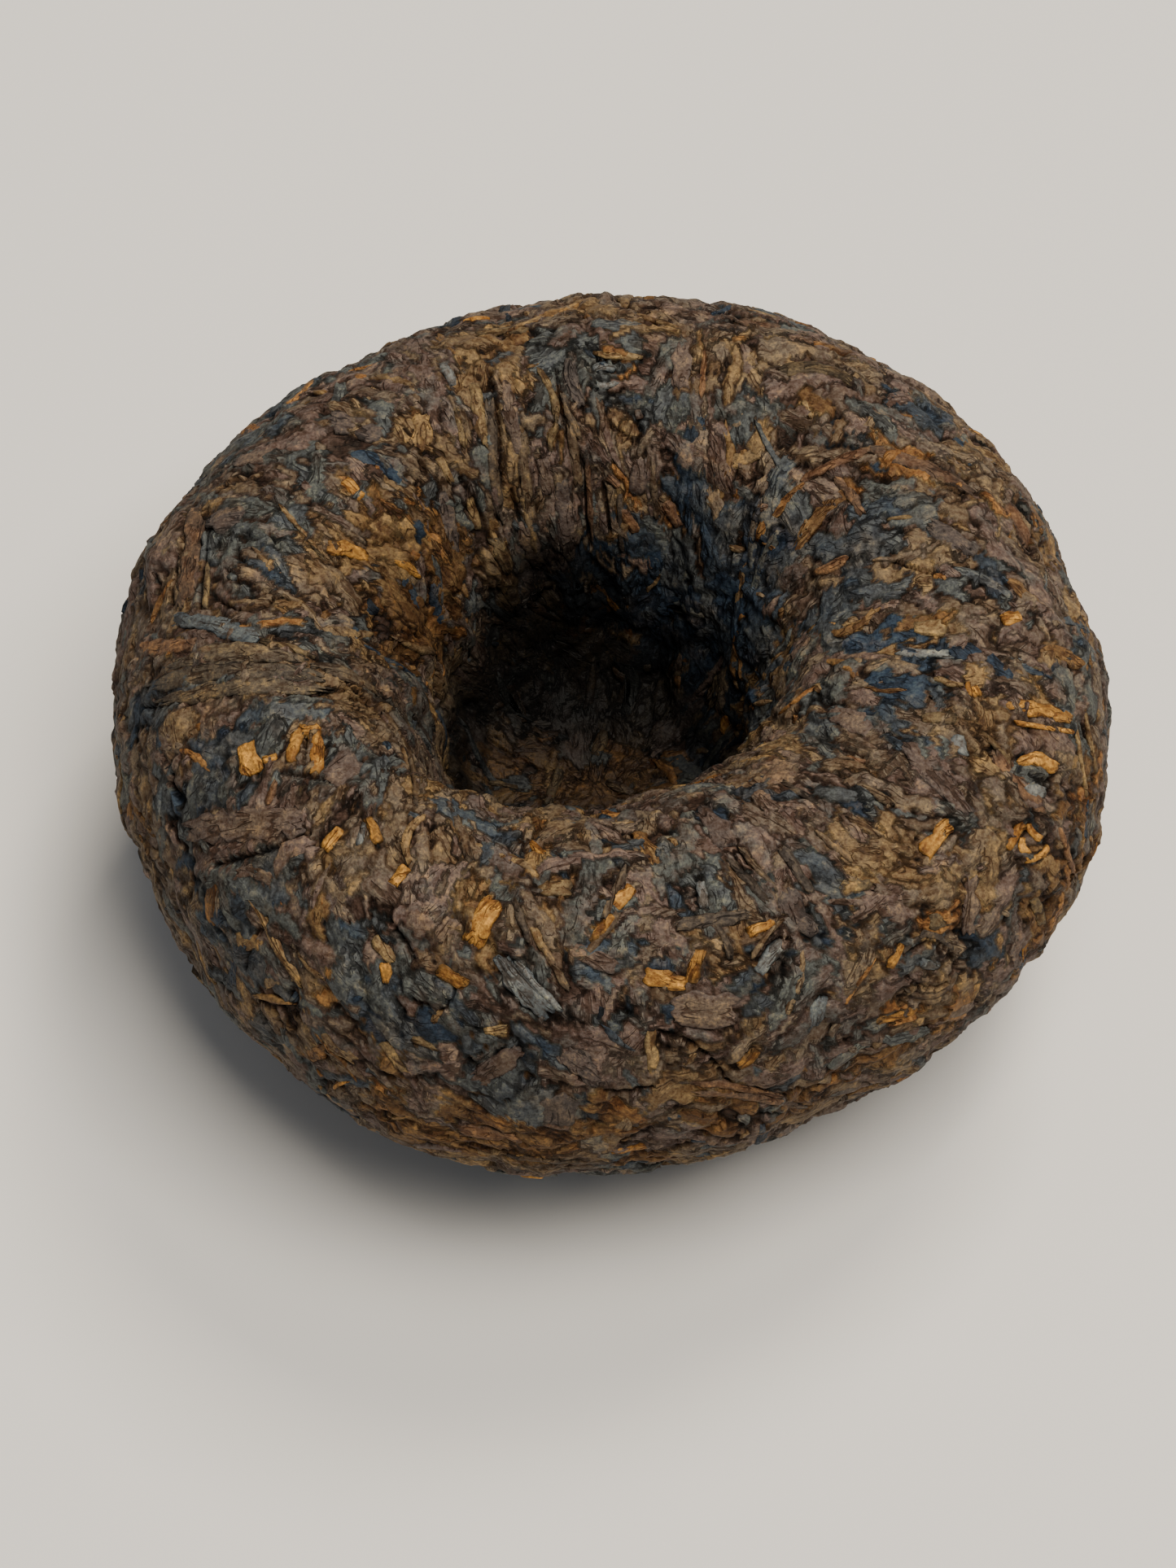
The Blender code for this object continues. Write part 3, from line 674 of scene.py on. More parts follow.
for row in range(ROWS + 1):
    uneven = smooth_share(row_step * (ROWS - row), REST_RADIUS, REST_RADIUS + SMOOTH_ABOVE_REST)
    for column in range(COLUMNS):
        spot = Vector(grid[row, column])
        crumb = noise.noise(spot / CRUMB_SIZE) + 0.7 * noise.noise(spot / CRUMB_SIZE * 2.1)
        relief[row, column] = (relief[row, column] + CRUMB_HEIGHT * crumb) * uneven
matted = grid + outward_ways * relief[..., None]
matted[..., 2] = matted[..., 2].clip(0)
for values in (matted, relief, owner):  # the poles keep one place, height and leaf each
    values[0], values[ROWS] = values[0, 0], values[ROWS, 0]
seats, alongs, acrosses, tints, owns = (np.array(values) for values in (seats, alongs, acrosses, tints, owns))
ahead, behind = np.vstack([matted[1:], matted[-1:]]), np.vstack([matted[:1], matted[:-1]])
faced = np.cross(np.roll(matted, -1, 1) - np.roll(matted, 1, 1), ahead - behind)
faced *= np.sign(np.sum(faced * outward_ways, axis=2, keepdims=True))
faced /= np.maximum(np.linalg.norm(faced, axis=2, keepdims=True), 1e-12)
faced[0], faced[ROWS] = (0, 0, 1), (0, 0, -1)


def linked(name, mesh):
    """A mesh's object, in the scene."""
    piece = bpy.data.objects.new(name, mesh)
    bpy.context.scene.collection.objects.link(piece)
    return piece


def circle(radius, height):
    """A ring of points inside the cake, or its one point on the axis."""
    turns = np.arange(COLUMNS if radius else 1) * math.tau / COLUMNS
    ring = np.stack([radius * np.cos(turns), radius * np.sin(turns), np.full(len(turns), height)], axis=1)
    return ring + np.array(AXIS_AT)


def pressed_tea(piece):
    """Says that a piece moves with the cake's body and stands for its solid."""
    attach(piece, "root")
    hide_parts(NODE)


def note(mesh, name, values, kind="FLOAT", field="value"):
    """Keeps a value for each point of a mesh, for its material or for the tree that scatters on it."""
    mesh.attributes.new(name, kind, "POINT").data.foreach_set(field, values)


def matted_band(name, first, last, before=(), after=(), loop=False):
    """The matted leaf from one row to another, closed inside the cake. Each face holds its leaf's flow."""
    rows = [matted[row, :1] if row in (0, ROWS) else matted[row] for row in range(first, last + 1)]
    points, faces = joined_rings([*before, *rows, *after], loop)

    def of_points(values):
        """The values of the band's points, and nought for those inside the cake."""
        shown = [values[row, : len(ring)] for row, ring in zip(range(first, last + 1), rows)]
        lead, tail = ([np.zeros((len(ring), *values.shape[2:]), values.dtype) for ring in rings]
                      for rings in (before, after))
        return np.concatenate(lead + shown + tail)

    marks, rises = of_points(owner), of_points(relief)
    mesh = bpy.data.meshes.new(name)
    mesh.from_pydata(points.tolist(), [], faces)
    mesh.shade_smooth()
    sizes = np.array([len(face) for face in faces])
    corners = np.fromiter((corner for face in faces for corner in face), int)
    top = np.array([face[int(np.argmax(rises[list(face)]))] for face in faces])
    leaf = np.repeat(marks[top], sizes)
    off = points[corners] - seats[leaf]
    flow = np.stack([np.sum(off * alongs[leaf], axis=1), np.sum(off * acrosses[leaf], axis=1)], axis=1) / MM
    mesh.uv_layers.new(name="leaf").data.foreach_set("uv", flow.ravel())
    note(mesh, "tint", tints[marks])
    note(mesh, "own", owns[marks])
    note(mesh, "joint", of_points(joint))
    # the rise sets how much painted shade a low place takes in the finish
    note(mesh, "rise", 0.5 + rises / RISE_SPAN)
    if loop:
        unseen = np.arange(len(faces)) >= len(faces) - COLUMNS
    else:
        inside = ~of_points(np.ones(relief.shape, bool))
        unseen = np.maximum.reduceat(inside[corners], np.cumsum(sizes) - sizes)
    # Both bands at a seam take the whole skin's normals there, so that the seam doesn't show.
    normals = of_points(faced)[corners]
    normals[np.repeat(unseen, sizes)] = 0
    mesh.normals_split_custom_set(normals.tolist())
    return linked(name, mesh)


def new_material(name):
    """A material, its node tree and its Principled shader."""
    material = bpy.data.materials.new(name)
    material.use_nodes = True
    tree = material.node_tree
    return material, tree, tree.nodes["Principled BSDF"]


def feed(tree, socket, value):
    """Links an input to a socket, or sets it to a plain value."""
    if isinstance(value, bpy.types.NodeSocket):
        tree.links.new(value, socket)
    else:
        socket.default_value = value


def add(tree, kind, settings=(), **inputs):
    """A node with its settings. Its inputs are fed by their names, with spaces written as underscores."""
    node = tree.nodes.new(kind)
    for key, value in dict(settings).items():
        setattr(node, key, value)
    for key, value in inputs.items():
        wanted = key.replace("_", " ").lower()
        feed(tree, next(s for s in node.inputs if s.enabled and s.name.lower() == wanted), value)
    return node


def result(node, name=None):
    """A node's first live output, or the live one of that name."""
    return next(s for s in node.outputs if s.enabled and name in (None, s.name))


def maths(tree, operation, a, b=0.0, c=0.0):
    """A Math node of numbers or sockets, and its output."""
    node = tree.nodes.new("ShaderNodeMath")
    node.operation = operation
    for socket, value in zip(node.inputs, (a, b, c)):
        feed(tree, socket, value)
    return node.outputs[0]


def vectors(tree, operation, a, b=(0.0, 0.0, 0.0)):
    """A Vector Math node of vectors or sockets, and its first live output."""
    node = tree.nodes.new("ShaderNodeVectorMath")
    node.operation = operation
    for socket, value in zip(node.inputs, (a, b)):
        feed(tree, socket, value)
    return result(node)


def ramp(tree, share, stops):
    """A colour ramp over (place, colour) stops, and its colour."""
    node = tree.nodes.new("ShaderNodeValToRGB")
    tree.links.new(share, node.inputs[0])
    for place, colour in stops[2:]:
        node.color_ramp.elements.new(place)
    for element, (place, colour) in zip(node.color_ramp.elements, stops):
        element.position = place
        element.color = (*colour, 1.0)
    return node.outputs[0]


def blend(tree, share, a, b, kind="RGBA"):
    """One colour, or one number, turning into another as share goes from 0 to 1."""
    return result(add(tree, "ShaderNodeMix", {"data_type": kind}, Factor=share, A=a, B=b))


def product(tree, number, *others):
    """Numbers multiplied together."""
    for other in others:
        number = maths(tree, "MULTIPLY", number, other)
    return number


def fade(tree, value, start, end, low=0.0, high=1.0, smooth=False):
    """A number that goes from low to high as value goes from start to end, and no further."""
    way = {"interpolation_type": "SMOOTHSTEP" if smooth else "LINEAR"}
    return result(add(tree, "ShaderNodeMapRange", way, Value=value, From_Min=start, From_Max=end, To_Min=low,
                      To_Max=high))


def swing(tree, share, gain):
    """A noise about a half, made a number about 1 that swings gain times as far and stays above 0."""
    return maths(tree, "MAXIMUM", maths(tree, "MULTIPLY_ADD", share, gain, 1 - gain / 2), 0.05)


def fog(tree, place, scale, detail=2.0, roughness=0.6):
    """Soft noise at a place, scale bumps to the metre."""
    return result(add(tree, "ShaderNodeTexNoise", Vector=place, Scale=scale, Detail=detail,
                      Roughness=roughness))


WHITE = (1.0, 1.0, 1.0, 1.0)
GRAIN_SCALE = 9000.0
CRUMBLE_SCALE = 3200.0
OPEN_CRACKS_SCALE = 1300.0
BLOTCH_SCALE = 900.0
RUBBED_SCALE = 480.0
VEIN_STRETCH = (2.0, 5.2, 1.0)
CRACK_STRETCH = (1.0, 3.2, 1.0)
OWN_DRIFT = 40.0  # how far apart the veins of two leaves are drawn
BLOTCH_DRIFT = 0.34  # how far the colour drifts within a leaf, along its ramp
BUMP_REACH = 0.00007
COOL_FROM = (0.36, 0.24)  # between these places on the ramp leaf turns from brown to blue
RUBBED_FROM = (0.74, 0.98)
RUBBED = (0.135, 0.082, 0.034, 1.0)
# Tints of the darks, dark by the leaf's tone and by painted shade, on brown leaf and on blue; and of the
# brightest places, as a painted highlight.
BROWN_SHADE_TINT = (1.42, 0.96, 0.66, 1.0)
BLUE_SHADE_TINT = (1.12, 1.0, 0.95, 1.0)
HIGHLIGHT_TINT = (1.12, 1.0, 0.72, 1.0)

# The dark of the hollow: the places between which it fades in or out, and how much light is left there.
HOLLOW_EDGE = (0.0048, 0.0088)  # off the axis
WALL_HEIGHTS = (0.0068, 0.0104)
WALL_LIGHT = 0.045
WALL_LEAN = 0.35  # the dark ends lower on the right, by this share of the way there
LEFT_TO_RIGHT = (-0.006, 0.004)
LEFT_LIGHT = 0.56
FAR_WALL = (-0.0017, 0.0042, 0.0091)  # the middle of the far wall's darkest place
FAR_WALL_REACH = (0.0013, 0.0030)
FAR_WALL_LIGHT = 0.12
FLOOR_HEIGHTS = (0.0068, 0.0058)
FLOOR_NEAR = (0.0028, 0.0004)
FLOOR_LIGHT = 0.25
UNDER_LIP = (-0.0026, 0.0002)


def cracks(tree, place, offset, scale, open_from):
    """Fine cracks, open only here and there: 0 in a crack, 1 off it."""
    line = maths(tree, "ABSOLUTE", maths(tree, "SUBTRACT", fog(tree, offset, scale, 1.0), 0.5))
    reach = product(tree, maths(tree, "SUBTRACT", fog(tree, place, OPEN_CRACKS_SCALE, 1.0), open_from), 0.30)
    share = maths(tree, "DIVIDE", line, maths(tree, "MAXIMUM", reach, 0.0005))
    return fade(tree, share, 0.2, 1.0, smooth=True)


def hollow_light(tree, place):
    """The share of the light that comes to a place: all outside the hollow, and least on its far wall."""
    off_axis = add(tree, "ShaderNodeVectorMath", {"operation": "LENGTH"},
                   Vector=vectors(tree, "MULTIPLY", place, (1.0, 1.0, 0.0)))
    outside = fade(tree, result(off_axis, "Value"), *HOLLOW_EDGE, smooth=True)
    spot = add(tree, "ShaderNodeSeparateXYZ", Vector=place)
    x, y, z = (result(spot, axis) for axis in "XYZ")
    height = maths(tree, "MULTIPLY_ADD", maths(tree, "MAXIMUM", x, 0.0), WALL_LEAN, z)
    wall = fade(tree, height, *WALL_HEIGHTS, WALL_LIGHT, smooth=True)
    side = fade(tree, x, *LEFT_TO_RIGHT, LEFT_LIGHT)
    far_off = add(tree, "ShaderNodeVectorMath", {"operation": "DISTANCE"}, Vector=place)
    far_off.inputs[1].default_value = FAR_WALL
    far_wall = fade(tree, result(far_off, "Value"), *FAR_WALL_REACH, FAR_WALL_LIGHT, smooth=True)
    near = product(tree, fade(tree, y, *FLOOR_NEAR, high=FLOOR_LIGHT), fade(tree, y, *UNDER_LIP))
    floor = product(tree, fade(tree, z, *FLOOR_HEIGHTS), near)
    inside = maths(tree, "MAXIMUM", product(tree, wall, side, far_wall), floor)
    return blend(tree, outside, inside, 1.0, "FLOAT")


def leaf_finish(name, stops, rubbed=0.4, rough=(0.5, 0.8), veins=1.7, mottle=2.3, gloss=0.12):
    """Dry leaf: coloured by the leaf, grainy, faintly veined along it, cracked, and rubbed ochre in places.

    It is dark in its joints. Painted shade darkens its low places and the hollow; its darks and highlights
    are tinted.
    """
    material, tree, shader = new_material(name)
    tint, own, rise, gap = (result(add(tree, "ShaderNodeAttribute", {"attribute_name": kind}), "Fac")
                            for kind in ("tint", "own", "rise", "joint"))
    flow = result(add(tree, "ShaderNodeUVMap", {"uv_map": "leaf"}))
    place = result(add(tree, "ShaderNodeTexCoord"), "Object")
    drift = result(add(tree, "ShaderNodeCombineXYZ", X=0.0, Y=0.0, Z=product(tree, own, OWN_DRIFT)))
    vein_way, crack_way = (vectors(tree, "ADD", vectors(tree, "MULTIPLY", flow, stretch), drift)
                           for stretch in (VEIN_STRETCH, CRACK_STRETCH))
    vein = fog(tree, vein_way, 1.0, 3.0)
    grain = fog(tree, place, GRAIN_SCALE, 2.0, 0.7)
    crumble = fog(tree, place, CRUMBLE_SCALE, 3.0)
    blotch = fog(tree, place, BLOTCH_SCALE, 3.0)
    wide_crack = cracks(tree, place, crack_way, 0.8, 0.44)
    crack = product(tree, wide_crack, cracks(tree, place, crack_way, 1.7, 0.50))

    shade = maths(tree, "MULTIPLY_ADD", maths(tree, "SUBTRACT", blotch, 0.5), BLOTCH_DRIFT, tint)
    cool = fade(tree, shade, *COOL_FROM)
    worn = maths(tree, "MULTIPLY_ADD", crumble, 0.45, fog(tree, place, RUBBED_SCALE, 3.0))
    worn = fade(tree, worn, *RUBBED_FROM, smooth=True)
    worn = product(tree, worn, maths(tree, "MULTIPLY_ADD", cool, -0.5, 1.0))
    base = blend(tree, product(tree, worn, rubbed), ramp(tree, shade, stops), RUBBED)

    # The light on the leaf: its random tone from veins, grain, mottle and its own lightness, its dark cracks
    # and joints, and painted shade that darkens low places by their rise.
    light = product(
        tree,
        swing(tree, vein, veins),
        swing(tree, grain, 2.6),
        swing(tree, crumble, mottle),
        maths(tree, "MULTIPLY_ADD", own, 0.4, 0.8),
        maths(tree, "MULTIPLY_ADD", crack, 0.62, 0.38),
        maths(tree, "MULTIPLY_ADD", gap, -0.6, 1.0),
        fade(tree, rise, 0.12, 0.52, 0.25, smooth=True),
    )
    # The darks, from tone and from painted shade, take a warm tint on brown leaf, and the brightest places
    # take a painted highlight's tint.
    shade_and_highlight_tint = blend(tree, light, blend(tree, cool, BROWN_SHADE_TINT, BLUE_SHADE_TINT), WHITE)
    shade_and_highlight_tint = vectors(tree, "MULTIPLY", shade_and_highlight_tint, blend(tree, fade(tree, light, 0.9, 2.2), WHITE, HIGHLIGHT_TINT))
    # Painted shade down the hollow, lightened on its floor where light falls in.
    light = product(tree, light, hollow_light(tree, place))
    lit = vectors(tree, "MULTIPLY", base, vectors(tree, "MULTIPLY", (1.0, 1.0, 1.0), light))
    feed(tree, shader.inputs["Base Color"], vectors(tree, "MULTIPLY", lit, shade_and_highlight_tint))
    matt = maths(tree, "MULTIPLY_ADD", crumble, rough[1] - rough[0], rough[0])
    feed(tree, shader.inputs["Roughness"], matt)
    height = maths(tree, "MULTIPLY_ADD", grain, 0.35, product(tree, crumble, 0.8))
    height = maths(tree, "MULTIPLY_ADD", vein, 0.8, height)
    height = maths(tree, "MULTIPLY_ADD", crack, 0.5, height)
    bumped = add(tree, "ShaderNodeBump", Strength=1.0, Distance=BUMP_REACH, Height=height)
    feed(tree, shader.inputs["Normal"], result(bumped))
    shader.inputs["Specular IOR Level"].default_value = gloss
    return material


MATTED_LEAF = (
    (0.0, (0.013, 0.018, 0.026)),
    (0.07, (0.017, 0.028, 0.046)),
    (0.14, (0.029, 0.037, 0.047)),
    (0.20, (0.052, 0.057, 0.060)),
    (0.30, (0.056, 0.061, 0.057)),
    (0.40, (0.086, 0.060, 0.051)),
    (0.50, (0.086, 0.068, 0.051)),
    (0.63, (0.104, 0.073, 0.041)),
    (0.78, (0.140, 0.090, 0.040)),
    (0.84, (0.098, 0.056, 0.024)),
    (0.91, (0.078, 0.041, 0.016)),
    (0.97, (0.180, 0.090, 0.030)),
)
matted_leaf = leaf_finish("matted_leaf", MATTED_LEAF, veins=1.2)
throat_row = round(0.5 * profile.crest / row_step)
crest_row = round(profile.crest / row_step)
widest_row = round(profile.widest / row_step)
foot_row = round((0.5 * profile.widest + 0.5 * profile.length) / row_step)
UNDER_THROAT = (circle(0.0050, 0.0040), circle(0.0, 0.0035))
UNDER_FOOT = (circle(0.0, 0.0030),)
bands = (
    matted_band("hollow_leaf", 0, throat_row, after=UNDER_THROAT),
    matted_band("lip_leaf", throat_row, crest_row, loop=True),
    matted_band("rim_leaf", crest_row, widest_row, loop=True),
    matted_band("side_leaf", widest_row, foot_row, loop=True),
    matted_band("foot_leaf", foot_row, ROWS, before=UNDER_FOOT),
)
for piece in bands:
    piece.data.materials.append(matted_leaf)
    pressed_tea(piece)

# ---------------------------------------------------------------------------------------------------------
# The leaves that can be told apart. Each is a flat or folded strip, its fibres running along it, sunk level
# among the rest with its edges tucked under. Buds are golden, stems red-brown, and smooth leaf blue-grey, its
# blue partly its own tone and partly a painted reflection of a cool sky.

LEAF_UNDER = 0.00009
FIBRE = 0.00011  # the width of one fibre's ridge
ROW_SPACING = 0.00016
EDGE_DULLING = 0.75
SHOWN_RISE = 0.62  # a shown leaf counts as this far up among the rest: only its sunk edges take painted shade


def leaf_form(length, width, dome, draw, steps, lanes, pointed=0.3, creases=0.5, bow=0.0, torn_by=1.0):
    """Rows of (along, across, height) of a torn strip, its outermost points sunk. They crowd at its edges."""
    phase = draw.uniform(0.0, 100.0)
    lean = draw.uniform(-0.25, 0.25)
    lane_rise = [draw.uniform(-1.0, 1.0) for _ in range(lanes + 1)]
    rows = []
    for step in range(steps + 1):
        t = 0.5 - 0.5 * math.cos(math.pi * step / steps)
        belly = math.sin(math.pi * (0.06 + 0.88 * t)) ** pointed * (1 + lean * (t - 0.5))
        middle = bow * math.sin(math.pi * t) + 0.12 * width * noise.noise(Vector((t * 3, phase, 7)))
        row = []
        for lane in range(lanes + 1):
            across = -math.cos(math.pi * lane / lanes)
            edge_spot = Vector((t * length / MM * 2.6, phase, 2 if across < 0 else 5))
            end_spot = Vector((across * 2.2, phase, 3 if t < 0.5 else 11))
            ragged = 1 + 0.75 * torn_by * noise.noise(edge_spot)
            torn = 0.45 * torn_by * noise.noise(end_spot)
            end = length / 2 * (2 * t - 1) * (1 - 0.08 * across * across + torn * abs(2 * t - 1) ** 3)
            rise = dome * (1 - abs(across) ** 3) * (1 - abs(2 * t - 1) ** 6)
            wave = noise.noise(Vector((t * length / MM * 1.6, lane_rise[lane] * 9, phase)))
            rise += creases * dome * (0.7 * lane_rise[lane] + wave)
            if lane in (0, lanes) or step in (0, steps):
                rise = -LEAF_UNDER
            row.append((end, middle + width / 2 * belly * ragged * across, rise))
        rows.append(row)
    return rows


def close_form(shape, rows):
    """Faces over the rows of a strip's points, and one below that closes it."""
    faces = []
    for near, far in zip(rows, rows[1:]):
        for a, b, c, d in zip(near, far, far[1:], near[1:]):
            faces.append(shape.faces.new((a, b, c, d)))
    rim = rows[0] + [row[-1] for row in rows[1:-1]] + rows[-1][::-1] + [row[0] for row in rows[-2:0:-1]]
    faces.append(shape.faces.new(rim))
    return faces


def mesh_of(name, shape):
    """The mesh of a finished shape, its faces turned outwards."""
    bmesh.ops.recalc_face_normals(shape, faces=shape.faces)
    mesh = bpy.data.meshes.new(name)
    shape.to_mesh(mesh)
    shape.free()
    return mesh


def lay_shown(name, material, seed, dome=0.035 * MM, lift=0.0, dullest=0.0, pointed=0.22, **form):
    """The shown strips of one kind as one mesh, each along its path on the skin, and dull at its edges."""
    chance = random.Random(seed)
    shape = bmesh.new()
    flow = shape.loops.layers.uv.new("leaf")
    tint, own, rise = (shape.verts.layers.float.new(kind) for kind in ("tint", "own", "rise"))
    for path, width in shown_paths[name]:
        if len(path) < 2:
            continue
        length = sum((b[0] - a[0]).length for a, b in zip(path, path[1:]))
        steps = max(6, min(22, round(length / ROW_SPACING)))
        lanes = max(4, min(12, round(width / FIBRE) + 2))
        shade = chance.uniform(dullest, 1.0)
        light = chance.random()
        local, rows = {}, []
        for row in leaf_form(length, width, dome, chance, steps, lanes, pointed, **form):
            made = []
            for lane, (along, across, height) in enumerate(row):
                spot = min(max(along / length + 0.5, 0.0), 1.0) * (len(path) - 1)
                near = min(int(spot), len(path) - 2)
                a, b = path[near][0], path[near + 1][0]
                out = path[near][1].lerp(path[near + 1][1], spot - near).normalized()
                way = path[min(near + 2, len(path) - 1)][0] - path[max(near - 1, 0)][0]
                side = out.cross(way).normalized()
                foot, up, _, _ = skin_tree.find_nearest(a.lerp(b, spot - near) + side * across)
                above = height + lift
                vertex = shape.verts.new(foot + up.lerp(out, 0.5).normalized() * above)
                edge = max(abs(math.cos(math.pi * lane / lanes)), abs(2 * along / length)) ** 4
                worn = 0.3 * noise.noise(Vector((along / MM * 3.0, across / MM * 5.0, 9 * light)))
                vertex[tint] = min(max(shade * (1 - EDGE_DULLING * min(edge, 1.0)) + worn, 0.0), 1.0)
                vertex[own] = light
                vertex[rise] = SHOWN_RISE + above / RISE_SPAN
                local[vertex] = (along / MM, across / MM)
                made.append(vertex)
            rows.append(made)
        for face in close_form(shape, rows):
            for loop in face.loops:
                loop[flow].uv = local[loop.vert]
    mesh = mesh_of(name, shape)
    mesh.shade_smooth()
    mesh.materials.append(material)
    pressed_tea(linked(name, mesh))


# Each kind: its finish's name, its colours from the dull edge to the bright middle, where the second one lies
# between them, what sets the finish apart, its seed, and how its strips are formed.
SHOWN_KINDS = {
    "golden_buds": (
        "golden_bud", ((0.070, 0.042, 0.019), (0.165, 0.082, 0.020), (0.330, 0.170, 0.040)), 0.35,
        {"rubbed": 0.0, "veins": 2.6, "mottle": 1.9},
        41, {"lift": 0.008 * MM, "dullest": 0.35, "pointed": 0.14, "torn_by": 0.7},
    ),
    "tan_leaf": (
        "tan_leaf", ((0.056, 0.042, 0.026), (0.105, 0.074, 0.037), (0.170, 0.116, 0.056)), 0.5,
        {"rubbed": 0.1, "veins": 2.0},
        42, {"dullest": 0.25},
    ),
    "red_brown_stems": (
        "red_brown", ((0.044, 0.033, 0.025), (0.094, 0.054, 0.032), (0.155, 0.082, 0.037)), 0.5,
        {"rubbed": 0.3, "veins": 2.0},
        43, {"dullest": 0.3},
    ),
    "blue_grey_leaf": (
        "blue_grey", ((0.032, 0.042, 0.051), (0.068, 0.077, 0.081), (0.118, 0.120, 0.114)), 0.5,
        {"rubbed": 0.1, "rough": (0.4, 0.65), "veins": 1.4, "mottle": 1.9, "gloss": 0.2},
        51, {"dullest": 0.3},
    ),
    "fan_leaf": (
        "fan_leaf", ((0.038, 0.032, 0.026), (0.058, 0.046, 0.033), (0.084, 0.062, 0.038)), 0.5,
        {"rubbed": 0.3, "veins": 2.4},
        47, {"dome": 0.03 * MM, "pointed": 0.5},
    ),
    "broad_leaf": (
        "broad_leaf", ((0.048, 0.040, 0.036), (0.072, 0.053, 0.045), (0.092, 0.067, 0.048)), 0.5,
        {"rubbed": 0.3, "veins": 1.4, "mottle": 1.8},
        46, {"dome": 0.03 * MM},
    ),
    "brown_leaf": (
        "brown_leaf", ((0.044, 0.035, 0.028), (0.076, 0.055, 0.035), (0.115, 0.082, 0.046)), 0.5,
        {"rubbed": 0.4, "veins": 2.4},
        45, {"dome": 0.045 * MM},
    ),
}
shown_finishes = {}
for kind, (finish_name, (dull, fair, bright), fair_at, finish, seed, form) in SHOWN_KINDS.items():
    shown_finishes[kind] = leaf_finish(finish_name, ((0.0, dull), (fair_at, fair), (1.0, bright)), **finish)
    lay_shown(kind, shown_finishes[kind], seed, **form)

# ---------------------------------------------------------------------------------------------------------
# Loose ends in the skin: shreds, rolled leaf, crumbs and small golden tips that didn't press quite flat. They
# lie the way the leaf does, with their edges sunk, and keep off the leaves that can be told apart.

BLANKS_OF_EACH = 7
ROOM_REACH = 0.0006  # how near to a shown leaf no shred is seated
LEVEL_BLEND = 0.00003  # how softly a shred's top is pressed level
REST_CLEARANCE = 0.00003  # shreds that meet the ground are lifted off it by up to this much


def blank_set(name, seed, length, width, dome, **form):
    """A collection of like shreds for the tree to draw from, each a little different in size and form."""
    chance = random.Random(seed)
    kept = bpy.data.collections.new(name)
    for number in range(BLANKS_OF_EACH):
        long = length * chance.uniform(0.75, 1.3)
        wide = width * chance.uniform(0.8, 1.25)
        bow = chance.uniform(-0.16, 0.16) * long
        shape = bmesh.new()
        flow = shape.loops.layers.uv.new("leaf")
        spots = leaf_form(long, wide, dome, chance, bow=bow, **form)
        rows = [[shape.verts.new(spot) for spot in row] for row in spots]
        for face in close_form(shape, rows):
            for loop in face.loops:
                loop[flow].uv = loop.vert.co.xy / MM
        mesh = mesh_of(f"{name}_{number}", shape)
        kept.objects.link(bpy.data.objects.new(mesh.name, mesh))
    return kept


